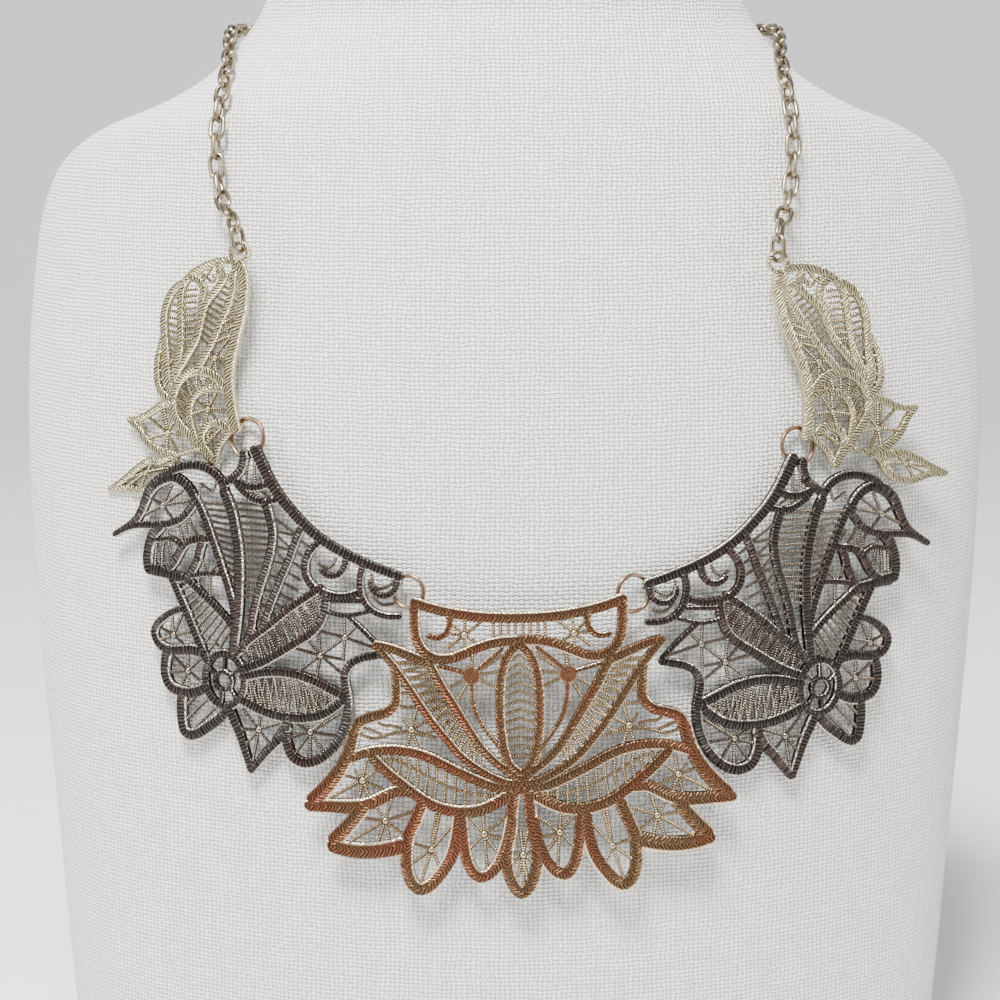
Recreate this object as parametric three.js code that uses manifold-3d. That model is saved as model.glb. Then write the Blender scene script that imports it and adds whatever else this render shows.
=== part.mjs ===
// Bib necklace on a linen-covered neck bust. Millimetres, +Z up, -Y is the front.
// The origin is the middle of the bust's flat base. Five cast openwork plates hang side by side
// on the chest: a centre plate, two side plates and two shoulder plates. Jump rings link them
// through small loops on their backs, and a curb chain runs round the neck to a clasp.
import * as THREE from 'three';
import { mergeVertices } from 'three/addons/utils/BufferGeometryUtils.js';
import Module from 'manifold-3d';

const wasm = await Module();
wasm.setup();

// ---------------------------------------------------------------- driving dimensions
const PLATE_THICKNESS = 1.3;
const PLATE_BEND = 172;        // bending radius of every plate, about its own upright axis
const RIB_TURN = 0.56;         // a curved rib turns this far (radians) in one straight step
const OVAL_STEPS = 14;
const RIB_STEP = 7;            // and no step is longer than this
const CHEST_RADIUS = 170;      // the chest is rounded about an upright axis
const CHEST_FRONT_Y = -50;     // foremost chest line, at CHEST_DATUM_Z
const CHEST_DATUM_Z = 120;
const CHEST_LEAN = Math.tan(THREE.MathUtils.degToRad(4));
const CHEST_CURL_Z = 140;      // above this height the chest rolls back towards the neck
const CHEST_CURL_RADIUS = 250;
const BUST_BACK_Y = 62;
const EDGE_ROUND = 10;         // depth of the rounding where the chest turns into its side
const EDGE_POWER = 10;
const NECK_FROM_Z = 222;       // the section changes from chest to neck between these heights
const NECK_TO_Z = 256;
const LOOP_HOLE = 0.75;        // back loops that take the jump rings
const LOOP_WIRE = 0.32;
const LOOP_DEPTH = 0.92;       // how far a loop's middle stands behind its plate
const RING_WIRE = 0.42;
const LINK_WIRE = 0.5;
const LINK_HALF_WIDTH = 1.5;   // wire centre to link centre line, across
const LINK_HALF_LENGTH = 2.65; // wire centre to link centre, along
const LINK_PITCH = 4.45;       // neighbouring links of one length bear on each other
const JOIN_PITCH = 3.9;        // slack between two lengths of chain
const CHAIN_LIFT = 3.4;        // chain line to the bust
const CHAIN_AXIS_Y = 20;       // links face away from this upright line inside the neck
const EYE_INSET = 0.3;         // middle of an eye or clasp hole to the wire of the link in it
const EYE_STRAIGHT = 5;        // the chain leaves a cast eye straight up the plate this far

const CLASP_HALF_WIDTH = 2.8;
const CLASP_THICKNESS = 1.2;
const CLASP_HOLE = 1.55;       // radius of the holes the end links run through

// half width of the bust at a height
const BUST_WIDTHS = [
  [0, 98], [20, 101.5], [70, 106], [120, 110], [165, 111.5], [195, 110], [212, 107.5],
  [221, 103.5], [227, 97], [231, 89.5], [235, 79], [241, 68.5], [248, 62], [258, 56],
  [274, 50], [300, 46],
];

// ---------------------------------------------------------------- finishes
const finish = (color, roughness, metalness) =>
  new THREE.MeshStandardMaterial({ color, roughness, metalness });
const LINEN = () => finish(0xe6e3dc, 0.95, 0);
const COPPER = () => finish(0x8a5a3c, 0.38, 1);
const GUNMETAL = () => finish(0x4a443f, 0.3, 1);
const PALE_GOLD = () => finish(0xb9ab84, 0.35, 1);
const NICKEL = () => finish(0xb3aca0, 0.3, 1);

// ---------------------------------------------------------------- rib patterns
// Each rib is [width at start, width at end, points]; a point is [across, up] in the plate's
// own plane and the rib is a smooth curve through its points. Side and shoulder plates are
// given as the one on the +X side, so +across points away from the middle of the chest.
const CENTRE_HALF = [
  [1.8, 1.7, [[-21.7, 40.2], [-21.8, 36.2], [-21.4, 32.4], [-20, 29.8], [-17.4, 28.3],
    [-14.4, 28.3], [-11.5, 29.4], [-8.5, 30.7], [-4.5, 31.8], [0.4, 32.1]]],
  [1.4, 0.9, [[-14.6, 38.6], [-14.3, 35.8], [-15.2, 33.6], [-17, 32.6], [-19.2, 33]]],
  [1.5, 1.9, [[-30.4, 31.2], [-27, 30.4], [-23.6, 29.1], [-20.5, 27.8], [-18.2, 27.2]]],
  [1.4, 1.4, [[-30.4, 31.2], [-27.6, 28], [-24.2, 23.2], [-21, 18.1], [-18.3, 14],
    [-15.5, 10.4], [-12.4, 6.7], [-8.3, 3.5], [-3.7, 1.1], [0, 0.4]]],
  [1.7, 1.4, [[-19.4, 28.3], [-17.8, 25], [-16, 21.5], [-14.2, 18.5], [-12.4, 15.4],
    [-10.5, 12.2], [-8.3, 8.7], [-5.5, 5.6], [-2.8, 3.4], [0, 1]]],
  [1.6, 2, [[-26.3, 26.8], [-26, 23.5], [-25.9, 20.5], [-26.3, 18], [-28, 16.2],
    [-31, 15.2], [-33.8, 14], [-35.2, 11.8]]],
  [2.1, 3.1, [[-35, 12.6], [-36.2, 8], [-37.6, 4.7], [-39.5, 1.7], [-42.1, -1.5],
    [-45.1, -4.6]]],
  [2.2, 2.6, [[-46.2, -5], [-41.5, -4.9], [-37.5, -4.9], [-33.6, -4.6]]],
  [2.4, 1.9, [[-35, -4.9], [-31.5, -3.6], [-29, -2.2], [-26.5, -1.1], [-23.6, -1.2]]],
  [2.4, 2.8, [[-33.2, -4.6], [-35.6, -7.6], [-38, -10.4], [-40.6, -13.2]]],
  [2.6, 2.9, [[-41.2, -13.7], [-37.5, -14.5], [-33.5, -14.7], [-29.5, -14.2], [-25, -13]]],
  [1.8, 1.8, [[-36.4, 6], [-33, 7.3], [-29.2, 8], [-25.5, 8], [-21.9, 7.4], [-18.6, 6.2],
    [-14.6, 4.1], [-10.1, 1.9], [-5.5, 0], [0, -0.6]]],
  [1.9, 2.2, [[-31.7, 6.6], [-28.3, 3.1], [-25.3, 0.6], [-22.4, -1.7], [-19, -3.9],
    [-15.5, -5.1], [-11.9, -5.5], [-8.3, -4.9], [-4.8, -3.2], [-1, -0.6]]],
  [2.2, 2.2, [[-20.8, -3.6], [-22.6, -8], [-24.1, -11.6], [-24.5, -15.5], [-24.3, -19.4],
    [-23.2, -22], [-21.6, -22.9], [-19.8, -22], [-17.2, -19], [-15.2, -15.6],
    [-14.1, -11.8], [-13.5, -8], [-13.2, -5]]],
  [2, 2, [[-12.8, -5], [-12.4, -10], [-12, -14.4], [-11, -18], [-9.3, -20],
    [-7.4, -19.6], [-5.4, -17.4], [-4, -14.4], [-3, -11], [-2.2, -7]]],
  [2, 2.2, [[-1.2, 0], [-1.9, -5], [-2.2, -9.5], [-3, -13.5], [-3.2, -17],
    [-2.6, -20.2], [-1.3, -22.9], [0.4, -24.2]]],
  [1.5, 1.7, [[0.3, 31.2], [-1.6, 29.8], [-2.9, 27.4], [-3.7, 24.5], [-4.1, 21],
    [-4.2, 16.7], [-4, 12.2], [-3.4, 7.8], [-2.2, 4.6], [0.2, 2.4]]],
  [0.7, 0.7, [[-10, 23.4], [-9.8, 18.6], [-8.6, 14.8], [-6.4, 11.2], [-4, 8]]],
  [0.7, 0.7, [[-9.4, 25.4], [-3.4, 30.6]]],
  [0.7, 0.7, [[-11.4, 25], [-17, 26.6]]],
];
const COLLAR_BAR = [1.8, 1.8, [[-22.2, 40.6], [-18.5, 39.3], [-14, 38.2], [-8, 37.3], [0, 37],
  [8, 37.3], [14, 38.2], [18.5, 39.3], [22.2, 40.6]]];
const CENTRE_DISCS = [[-10.1, 24.5, 2.05], [10.1, 24.5, 2.05], [0, 0.3, 2.3], [0, 31.6, 1.6]];

const SIDE_RIBS = [
  [1.7, 2.3, [[-40.9, 26.3], [-37.4, 27.3], [-33.5, 28.6], [-29.7, 30], [-25.8, 31.8],
    [-22.4, 33.7], [-19.3, 36], [-16.2, 38.9], [-13.5, 41.7], [-11.2, 44.8], [-9.5, 47.8],
    [-7.2, 52.2]]],
  [1.4, 1, [[-40.1, 26.2], [-39.6, 23.8], [-37.8, 22.2], [-35.8, 22.2], [-34.4, 23.4],
    [-34, 25.2]]],
  [1.4, 1.1, [[-32.5, 28.6], [-31.8, 25.4], [-32.1, 22.4], [-33.4, 19.8], [-35.6, 18.3],
    [-38.2, 17.8], [-40.8, 17.9]]],
  [1.5, 1.1, [[-28.8, 30.1], [-28.1, 27.5], [-26.6, 25.9], [-24.6, 25.7], [-22.8, 26.9]]],
  [1.5, 1.5, [[-22.8, 33.3], [-20.4, 30.6], [-19.4, 28], [-19.6, 25.4], [-21, 23.3],
    [-23.6, 22], [-26.6, 21.4], [-29.4, 21.7], [-32.2, 22.8]]],
  [0.8, 0.8, [[-32.4, 20.6], [-23.6, 20.2]]],
  [0.8, 0.8, [[-34.2, 18.6], [-28.5, 17.2], [-23.6, 17.8]]],
  [0.9, 0.9, [[-29, 17.4], [-33.8, 13.2], [-37.5, 9.5]]],
  [1.5, 2.2, [[-37.7, 9.3], [-35, 8.8], [-32.3, 8.1], [-29.9, 6.7], [-28.7, 4.4],
    [-28.8, 2], [-29.3, -0.6], [-29.4, -3.4], [-28.9, -6.6], [-27.4, -10.3], [-25, -13.4],
    [-22.2, -15.5], [-19.2, -16.2], [-16.8, -15.2], [-15.4, -12.6], [-15, -9.6],
    [-15.4, -6.2]]],
  [2.4, 1.4, [[-15.4, -8.2], [-13.6, -11.2], [-11.4, -13.6], [-9.3, -16.2], [-6.8, -19.4]]],
  [1.4, 2.2, [[-6.8, -19.4], [-5.5, -15.6], [-4.2, -12], [-2.6, -8.6], [-0.9, -5.4]]],
  [1.8, 1.8, [[-28.9, -0.8], [-24.9, 0.9], [-21.5, 2.3], [-18, 3.2], [-14, 3.5],
    [-10, 3.1], [-4.4, 1.6]]],
  [1.8, 2, [[-28.9, -0.8], [-26, -3.4], [-23.2, -5.2], [-19.8, -6.1], [-16.5, -6.4],
    [-12.7, -6.2], [-8.9, -5.3], [-4, -3.4]]],
  [1.6, 1.7, [[-23.2, 23], [-20.3, 21.1], [-15.5, 17.6], [-10.8, 13.6], [-6.5, 10.2],
    [-3, 6.6]]],
  [1.6, 2, [[-24.4, 22.2], [-24, 18.5], [-22.9, 15.4], [-20.6, 12.7], [-16.5, 9.9],
    [-12.7, 7.4], [-9, 5.2], [-4, 3]]],
  [2, 2, [[0.2, 42.6], [-1.7, 38.6], [-2.6, 35.2], [-3.3, 31.8], [-3.7, 28.3],
    [-3.8, 24.8], [-3.7, 21.2], [-3.6, 17.8], [-3.3, 14.4], [-2.8, 10.6], [-2.2, 5.8]]],
  [1.5, 1.5, [[9.4, 42.8], [6.4, 39], [4.9, 36.3], [3.6, 33.4], [2.4, 30.4], [1.2, 27.4],
    [0, 24.2], [-1.1, 21.2], [-2.1, 18], [-2.8, 14]]],
  [1.7, 1.5, [[-9.8, 41], [-11, 37.6], [-11.7, 34], [-11.3, 30.2], [-10.3, 26.4],
    [-9, 22.6], [-7.9, 18.8], [-7.1, 15], [-6.6, 12.2], [-4.8, 7.6]]],
  [1.5, 1.5, [[-18.8, 36.4], [-17, 32.4], [-15.4, 28], [-13.7, 24.2], [-12.4, 21],
    [-11.2, 18], [-9.4, 13]]],
  [1.7, 1.7, [[-4.9, 51.3], [-4.8, 49], [-4.1, 47.2], [-2.6, 45.6], [0.4, 43.6]]],
  [1.5, 1.5, [[-11.2, 44.9], [-8.4, 43.8], [-5.6, 43.6], [-3, 44.5], [-1.4, 45]]],
  [1.3, 1.3, [[-13.4, 41.6], [-10.2, 40.7], [-7.4, 41], [-5.2, 42.2], [-3, 44]]],
  [1.7, 1.7, [[-0.6, 40.2], [0.2, 43.4], [1.6, 45.3], [3.8, 46.6], [6.6, 47.2], [9.6, 46.9],
    [12.4, 46], [15.2, 44.4]]],
  [1.8, 2, [[7, 39], [8.4, 41.6], [10.4, 43.3], [12.4, 44.1], [15.2, 43.8]]],
  [2.5, 1.2, [[14.2, 44.2], [17, 42.8], [19, 40.9], [20.3, 38.5], [21.4, 36.2], [22.8, 34.1],
    [25, 32.3], [29.4, 29.7]]],
  [1.6, 1.4, [[6.6, 40], [8.6, 37.4], [10.6, 35.4], [13.4, 34], [16.6, 33.2], [20, 32.9],
    [23.6, 32.4], [27, 31.2]]],
  [1.6, 1.8, [[3, 31.8], [5.4, 31.1], [7.2, 30.9], [9, 30.3], [10.4, 29.1], [11.4, 27.5],
    [12.4, 25.9], [13.5, 24.5], [15.2, 23.2]]],
  [1.7, 1.6, [[5.2, 31.2], [6, 28.8], [6.5, 27], [7.3, 25.1], [8.4, 23.3], [10.2, 20.8]]],
  [1.7, 2.8, [[9, 22], [12.6, 22.2], [15, 22.7], [18.8, 23.1]]],
  [2.2, 2.4, [[16, 33.3], [18, 31.4], [19, 29.4], [19.6, 27.2], [19.8, 25], [19.3, 22.6]]],
  [0.9, 0.9, [[10.6, 29.3], [13.8, 30.6], [16, 30.1], [19, 30]]],
  [1.4, 1.5, [[-3, 11.4], [-0.6, 14.2], [1.4, 16], [3.4, 17.6], [5.8, 19.3], [9, 21.8]]],
  [1.7, 1.7, [[13.6, 22.4], [12, 19.4], [10.6, 16.8], [9.2, 14.2], [7.8, 11.4], [6.4, 8.6],
    [4, 4]]],
  [1, 1, [[0, 24], [4.2, 23.7], [8.4, 22.8]]],
  [1.3, 2.1, [[9.4, 15.4], [12.8, 14.3], [15.4, 12.7], [17.4, 10.8], [18.1, 8.8],
    [17, 6.7], [14.6, 5.7], [11.6, 5.9], [8.4, 6.4], [4.6, 6]]],
  [2.1, 2.1, [[14.2, 6], [15.1, 2.8], [15.1, -0.4], [13.8, -2.6], [11.4, -3.4],
    [8.6, -3.4], [6.2, -2.6], [4, -1.4]]],
  [2.2, 2, [[10.6, -3], [10.9, -7], [10.7, -10], [10.1, -12.3], [8.7, -13], [6.8, -12.4],
    [4.2, -10.6], [1.4, -8.4], [-1.4, -5.4]]],
  [0.6, 0.6, [[0, 2], [-0.2, 6.4]]],
  [0.6, 0.6, [[-1.6, 1.4], [-4.4, 4]]],
  [0.6, 0.6, [[-1.6, -1.2], [-3.4, -4]]],
  [0.6, 0.6, [[0.4, -2], [0.6, -5.4]]],
  [0.6, 0.6, [[1.9, 1.2], [4.2, 3.2]]],
];
const HUB = { across: -0.2, up: 0.5, halfWidth: 4.9, halfHeight: 6, rib: 1.5 };
const HUB_EYE = { across: 0.1, up: 0.2, halfWidth: 2.15, halfHeight: 2.15, rib: 0.8 };

const SHOULDER_RIBS = [
  [2.2, 2.3, [[-12.6, 37.4], [-13.3, 34.6], [-13.2, 32], [-12.6, 29.6], [-12, 27],
    [-11, 24.6], [-9.9, 22.2], [-8.9, 19.8], [-7.8, 17.2], [-6.9, 14.6], [-6.3, 12],
    [-6.1, 9], [-6.1, 6], [-6.3, 3], [-6.8, 0.4]]],
  [1.7, 1.5, [[-13, 36.4], [-11.2, 37.9], [-8.8, 38.3], [-5.6, 38.1], [-2.6, 37.4],
    [0, 36.4], [2.8, 34.4]]],
  [1.5, 1.6, [[-12, 37.4], [-10.8, 34.2], [-10.2, 31.6], [-9.2, 29.4], [-7.8, 27.2],
    [-6.3, 25.2], [-4.9, 22.9], [-3.3, 20.8], [-1.7, 18.8], [0, 17], [2.4, 14.4]]],
  [1.2, 1.2, [[-7.6, 38.4], [-7.3, 35.8], [-8.6, 34.4]]],
  [1, 1, [[-11, 34.2], [-8.2, 35.2], [-5.6, 35]]],
  [1.6, 1.6, [[-8.8, 34.8], [-6.4, 32.4], [-4.2, 30.7], [-2.4, 28.8], [-1.2, 26.4],
    [-0.2, 24], [1.1, 21.6], [3, 19.5], [5, 17.4], [7, 15.4], [8.6, 13.4]]],
  [1.6, 1.4, [[0.8, 36.2], [-2, 34.4], [-2.6, 32.4], [-1.8, 30.4], [-1, 26.6]]],
  [1.6, 1.6, [[2, 35.2], [3.4, 33], [4, 30.4], [4.4, 27.8], [4.8, 25.2], [5.2, 22.6],
    [5.8, 20], [6.8, 17.6], [8.8, 14.4]]],
  [1.6, 1.9, [[1.6, 35], [4.8, 33.9], [6.8, 32.2], [8.3, 30], [9.2, 27.6], [9.6, 25],
    [9.8, 22.4], [9.9, 19.8], [10.2, 17], [10.4, 14], [9.4, 9.6]]],
  [1, 1.7, [[9.8, 24], [11.6, 20.8], [12.6, 18.2], [13.2, 15.6], [13.3, 13], [12.5, 11],
    [9.8, 8.8]]],
  [1.7, 2, [[-5.4, 9.6], [-3.8, 12.3], [-1.8, 13.9], [0.6, 14.7], [3.2, 14.7], [5.8, 13.8],
    [7.9, 12.1], [9.2, 9.9], [9.8, 7.4], [9.5, 5], [8.2, 2.9], [6.2, 0.7], [4.4, -1.4],
    [2.5, -3.5], [0.2, -6.2]]],
  [1.4, 1.4, [[-6, 9.8], [-3, 10.4], [-0.4, 10.5], [2, 9.9], [4, 8.4], [5.2, 6.2],
    [5.4, 3.8], [5, 1.6], [4.2, -1.6]]],
  [1.6, 1.8, [[-6.8, 0.6], [-4.4, 1], [-3.4, 2.1], [-1.8, 2.8], [0.2, 2.6], [2, 1.4],
    [2.9, -0.4], [2.7, -2.2], [1.6, -4], [0.2, -6.2]]],
  [1.3, 1.3, [[-5.2, 1.2], [-3.6, -0.8], [-2, -2.2], [-0.9, -3.8], [0, -6]]],
  [0.6, 0.6, [[-3, 1.6], [1.8, -1.6]]],
  [1.8, 1.2, [[8.8, 8.4], [12.6, 8.2], [15.4, 7.2], [18, 6.2], [20.6, 5.7], [23.6, 5.7]]],
  [1.2, 2.2, [[23.4, 5.8], [20.8, 3.4], [19.4, 1.2], [17.6, -0.8], [15.2, -2.3],
    [12.6, -3.4], [10.4, -4]]],
  [1.1, 1.1, [[3, -2.6], [7.4, -3.1], [12, -3.8]]],
  [1.6, 1.3, [[12.4, -4], [15.8, -4.5], [18.4, -4.2], [21, -4.9], [24, -6.2], [27.2, -7.8],
    [32.4, -10]]],
  [2, 1.2, [[11.4, -3.4], [13.4, -5.8], [14.6, -7.9], [16.4, -9.5], [18.8, -10.5],
    [21.4, -10.9], [24, -10.5], [27, -9.9], [32.4, -10]]],
];
const CAST_EYE = { across: -13.1, up: 39.6, halfWidth: 2.15, halfHeight: 2.15, rib: 0.9 };

// ---------------------------------------------------------------- placings
// around: arc length round the chest from the middle (+X side positive); height: above the
// base. turn: in the plate's plane; swing: outer edge to or from the chest; tip: top away from
// the chest. lift: gap behind the back face. side: +1 as drawn, -1 mirrored. Angles in degrees.
const SIDE_SCALE = [0.995, 0.996];
const SHOULDER_SCALE = [0.94, 0.967];
const PLACINGS = {
  centre_plate: { around: 3.4, height: 93.9, turn: 0.8, swing: 0, tip: 0.6, lift: 4.5,
    side: 1, scale: [1.006, 0.99] },
  side_plate_right: { around: 70.1, height: 110.2, turn: -0.5, swing: 0.15, tip: 1, lift: 1.8,
    side: 1, scale: SIDE_SCALE },
  side_plate_left: { around: -61.5, height: 112.7, turn: -0.4, swing: 1, tip: 1.2, lift: 1.9,
    side: -1, scale: [0.98, 0.996] },
  shoulder_plate_right: { around: 71.9, height: 164.7, turn: -1, swing: 2, tip: 2.2, lift: 2.4,
    side: 1, scale: SHOULDER_SCALE },
  shoulder_plate_left: { around: -63.5, height: 165.9, turn: 9.2, swing: 4.6, tip: 3.2,
    lift: 2, side: -1, scale: [0.93, 0.955] },
};
// back loops [across, up] that a jump ring runs through, one on each of the two plates it links
const RINGS = [
  { name: 'ring_centre_left', ends: [['centre_plate', -21.2, 39.7], ['side_plate_left', -39.9, 25.4]] },
  { name: 'ring_centre_right', ends: [['centre_plate', 21.2, 39.7], ['side_plate_right', -39.9, 25.4]] },
  { name: 'ring_side_left', ends: [['shoulder_plate_left', -7, 2.4], ['side_plate_left', -6.6, 50.4]] },
  { name: 'ring_side_right', ends: [['shoulder_plate_right', -7, 2.4], ['side_plate_right', -6.6, 50.4]] },
];

// the chain's way from a cast eye round the neck: [height, angle round the bust in degrees]
const CHAIN_WAY = [[217, 34.5], [229, 40.5], [238, 53.5], [245.5, 66], [250, 79], [252, 95],
  [251, 115], [249, 140], [248, 165], [247.5, 176.5]];
const FRONT_LINKS = 15;        // links of the front length; the rest make the back length
const LINK_TWISTS = [90, 8, 118, 38]; // degrees out of flat for the first links
const LINK_TWIST = 46;         // then each link is turned this far, one way and the other
const END_TWISTS = [90, 15, -60]; // the last links, counted from the one square to the clasp

// ---------------------------------------------------------------- solids
function toSolid(geometry) {
  const bare = geometry.clone();
  bare.deleteAttribute('normal');
  bare.deleteAttribute('uv');
  const merged = mergeVertices(bare, 1e-4);
  return new wasm.Manifold(new wasm.Mesh({
    numProp: 3,
    vertProperties: new Float32Array(merged.attributes.position.array),
    triVerts: new Uint32Array(merged.index.array),
  }));
}

function toGeometry(solid) {
  const mesh = solid.getMesh();
  const geometry = new THREE.BufferGeometry();
  geometry.setAttribute('position', new THREE.BufferAttribute(mesh.vertProperties.slice(), 3));
  geometry.setIndex(new THREE.BufferAttribute(mesh.triVerts.slice(), 1));
  geometry.computeVertexNormals();
  return geometry;
}

const joinAll = (solids) => solids.reduce((whole, piece) => whole.add(piece));

function moveVertices(geometry, rule) {
  const positions = geometry.attributes.position;
  const point = new THREE.Vector3();
  for (let i = 0; i < positions.count; i += 1) {
    rule(point.fromBufferAttribute(positions, i));
    positions.setXYZ(i, point.x, point.y, point.z);
  }
  return geometry;
}

function flatSolid(shape) {
  return toSolid(new THREE.ExtrudeGeometry(shape, {
    depth: PLATE_THICKNESS, bevelEnabled: false, curveSegments: 12,
  }));
}

// how far a curve turns altogether, in radians
function turning(curve) {
  const tangents = Array.from({ length: 25 }, (_, i) => curve.getTangentAt(i / 24));
  return tangents.slice(1).reduce((sum, next, i) => sum + next.angleTo(tangents[i]), 0);
}

// a strip of even or tapering width along a smooth curve through the points
function ribSolid([startWidth, endWidth, points], side, scale) {
  const knots = points.map(([a, u]) => new THREE.Vector3(side * a * scale[0], u * scale[1], 0));
  const curve = new THREE.CatmullRomCurve3(knots, false, 'centripetal');
  const steps = Math.ceil(Math.max(curve.getLength() / RIB_STEP, turning(curve) / RIB_TURN));
  const left = [];
  const right = [];
  for (let i = 0; i <= steps; i += 1) {
    const t = i / steps;
    const at = curve.getPointAt(t);
    const along = curve.getTangentAt(t);
    const half = THREE.MathUtils.lerp(startWidth, endWidth, t) / 2;
    left.push(new THREE.Vector2(at.x - along.y * half, at.y + along.x * half));
    right.unshift(new THREE.Vector2(at.x + along.y * half, at.y - along.x * half));
  }
  return flatSolid(new THREE.Shape([...left, ...right]));
}

function ovalRing({ across, up, halfWidth, halfHeight, rib }, { side, scale }) {
  const [x, y] = [side * across * scale[0], up * scale[1]];
  const oval = (grow) => {
    const path = new THREE.Path();
    path.absellipse(x, y, halfWidth + grow, halfHeight + grow, 0, 2 * Math.PI);
    return path.getPoints(OVAL_STEPS);
  };
  const shape = new THREE.Shape(oval(rib / 2));
  shape.holes.push(new THREE.Path(oval(-rib / 2)));
  return flatSolid(shape);
}

function discSolid([x, y, radius]) {
  const shape = new THREE.Shape();
  shape.absarc(x, y, radius, 0, 2 * Math.PI);
  return flatSolid(shape);
}

// ---------------------------------------------------------------- the chest and bust
function chestFront(z) {
  const above = Math.max(z - CHEST_CURL_Z, 0);
  return CHEST_FRONT_Y + CHEST_LEAN * (z - CHEST_DATUM_Z)
    + (above * above) / (2 * CHEST_CURL_RADIUS);
}

function chestFrame(around, height) {
  const angle = around / CHEST_RADIUS;
  const above = Math.max(height - CHEST_CURL_Z, 0);
  const point = new THREE.Vector3(CHEST_RADIUS * Math.sin(angle),
    chestFront(height) + CHEST_RADIUS * (1 - Math.cos(angle)), height);
  const across = new THREE.Vector3(Math.cos(angle), Math.sin(angle), 0);
  const up = new THREE.Vector3(0, CHEST_LEAN + above / CHEST_CURL_RADIUS, 1);
  up.addScaledVector(across, -up.dot(across)).normalize();
  return { point, across, up, out: new THREE.Vector3().crossVectors(across, up) };
}

// the plate's own frame: x across, y up the plate, z out of the chest
function placingMatrix({ around, height, turn, swing, tip, lift }) {
  const { point, across, up, out } = chestFrame(around, height);
  const rad = THREE.MathUtils.degToRad;
  const onChest = new THREE.Matrix4().makeBasis(across, up, out)
    .setPosition(point.clone().addScaledVector(out, lift));
  return onChest
    .multiply(new THREE.Matrix4().makeRotationZ(rad(turn)))
    .multiply(new THREE.Matrix4().makeRotationY(-rad(swing)))
    .multiply(new THREE.Matrix4().makeRotationX(rad(tip)));
}

// flat to bent: the plate wraps round an upright axis PLATE_BEND behind it
function bend(point) {
  const angle = point.x / PLATE_BEND;
  const radius = PLATE_BEND + point.z;
  return point.set(radius * Math.sin(angle), point.y, radius * Math.cos(angle) - PLATE_BEND);
}

function smoothTable(table, at) {
  const last = table.length - 1;
  const i = Math.min(Math.max(table.findIndex(([z]) => z > at), 1), last);
  const [[z0, w0], [z1, w1]] = at >= table[last][0] ? table.slice(last - 1) : [table[i - 1], table[i]];
  return THREE.MathUtils.lerp(w0, w1, THREE.MathUtils.clamp((at - z0) / (z1 - z0), 0, 1));
}

// the bust's surface: angle 0 is the front, a quarter turn either way the sides, pi the back
function bustPoint(z, angle, lift = 0) {
  const width = smoothTable(BUST_WIDTHS, z) + lift;
  const neck = THREE.MathUtils.smoothstep(z, NECK_FROM_Z, NECK_TO_Z);
  const front = chestFront(Math.min(z, NECK_TO_Z)) + 0.2 * Math.max(z - NECK_TO_Z, 0) - lift;
  const back = BUST_BACK_Y + lift + 0.02 * z;
  const x = width * Math.sin(angle);
  const share = Math.min(Math.abs(x / width), 1);
  const arc = CHEST_RADIUS - Math.sqrt(CHEST_RADIUS ** 2 - Math.min(Math.abs(x), width) ** 2);
  const chest = arc + EDGE_ROUND * (1 - Math.sqrt(1 - share ** EDGE_POWER));
  const middle = (front + back) / 2;
  const chestSide = front + CHEST_RADIUS - Math.sqrt(CHEST_RADIUS ** 2 - width ** 2) + EDGE_ROUND;
  const side = THREE.MathUtils.lerp(chestSide, middle, neck);
  if (Math.cos(angle) >= 0) {
    const round = (side - front) * (1 - Math.cos(angle));
    return new THREE.Vector3(x, front + THREE.MathUtils.lerp(chest, round, neck), z);
  }
  return new THREE.Vector3(x, side - (back - side) * Math.cos(angle), z);
}

function bustGeometry() {
  const heights = BUST_WIDTHS.map(([z]) => z);
  const rows = heights.length - 1;
  const geometry = new THREE.CylinderGeometry(1, 1, rows, 24, rows);
  geometry.rotateX(Math.PI / 2);
  return moveVertices(geometry, (p) => {
    const row = Math.round(p.z + rows / 2);
    const radius = Math.hypot(p.x, p.y);
    if (radius < 0.5) {
      const rim = bustPoint(heights[row], Math.PI);
      const front = bustPoint(heights[row], 0);
      p.set(0, (rim.y + front.y) / 2, heights[row]);
    } else p.copy(bustPoint(heights[row], Math.atan2(p.x, -p.y)));
  });
}

// ---------------------------------------------------------------- assembly
const necklace = new THREE.Group();

function addMesh(name, geometry, material) {
  const mesh = new THREE.Mesh(geometry, material);
  mesh.name = name;
  necklace.add(mesh);
  return mesh;
}

// [across, up] on a plate's drawing to its mirrored and scaled place
function onPlate(name, across, up, depth) {
  const { side, scale } = PLACINGS[name];
  return new THREE.Vector3(side * across * scale[0], up * scale[1], depth);
}

// where a back loop's hole is, in the necklace's frame
function loopCentre([name, across, up]) {
  return bend(onPlate(name, across, up, -LOOP_DEPTH)).applyMatrix4(placingMatrix(PLACINGS[name]));
}

// a wire loop standing behind the plate, its hole facing along the ring's wire
function backLoop([name, across, up], otherEnd) {
  const toPlate = placingMatrix(PLACINGS[name]).invert();
  const middle = onPlate(name, across, up, -LOOP_DEPTH);
  const ahead = loopCentre(otherEnd).applyMatrix4(toPlate).sub(bend(middle.clone()));
  const loop = new THREE.TorusGeometry(LOOP_HOLE + LOOP_WIRE, LOOP_WIRE, 5, 10);
  loop.rotateX(Math.PI / 2);
  loop.rotateZ(Math.atan2(ahead.y, ahead.x));
  loop.translate(middle.x, middle.y, middle.z);
  return toSolid(loop);
}

function addPlate(name, solids, material) {
  const loops = RINGS.flatMap(({ ends: [from, to] }) => [[from, to], [to, from]])
    .filter(([own]) => own[0] === name)
    .map(([own, other]) => backLoop(own, other));
  const whole = joinAll([...solids, ...loops]);
  addMesh(name, moveVertices(toGeometry(whole), bend), material)
    .applyMatrix4(placingMatrix(PLACINGS[name]));
}

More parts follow.
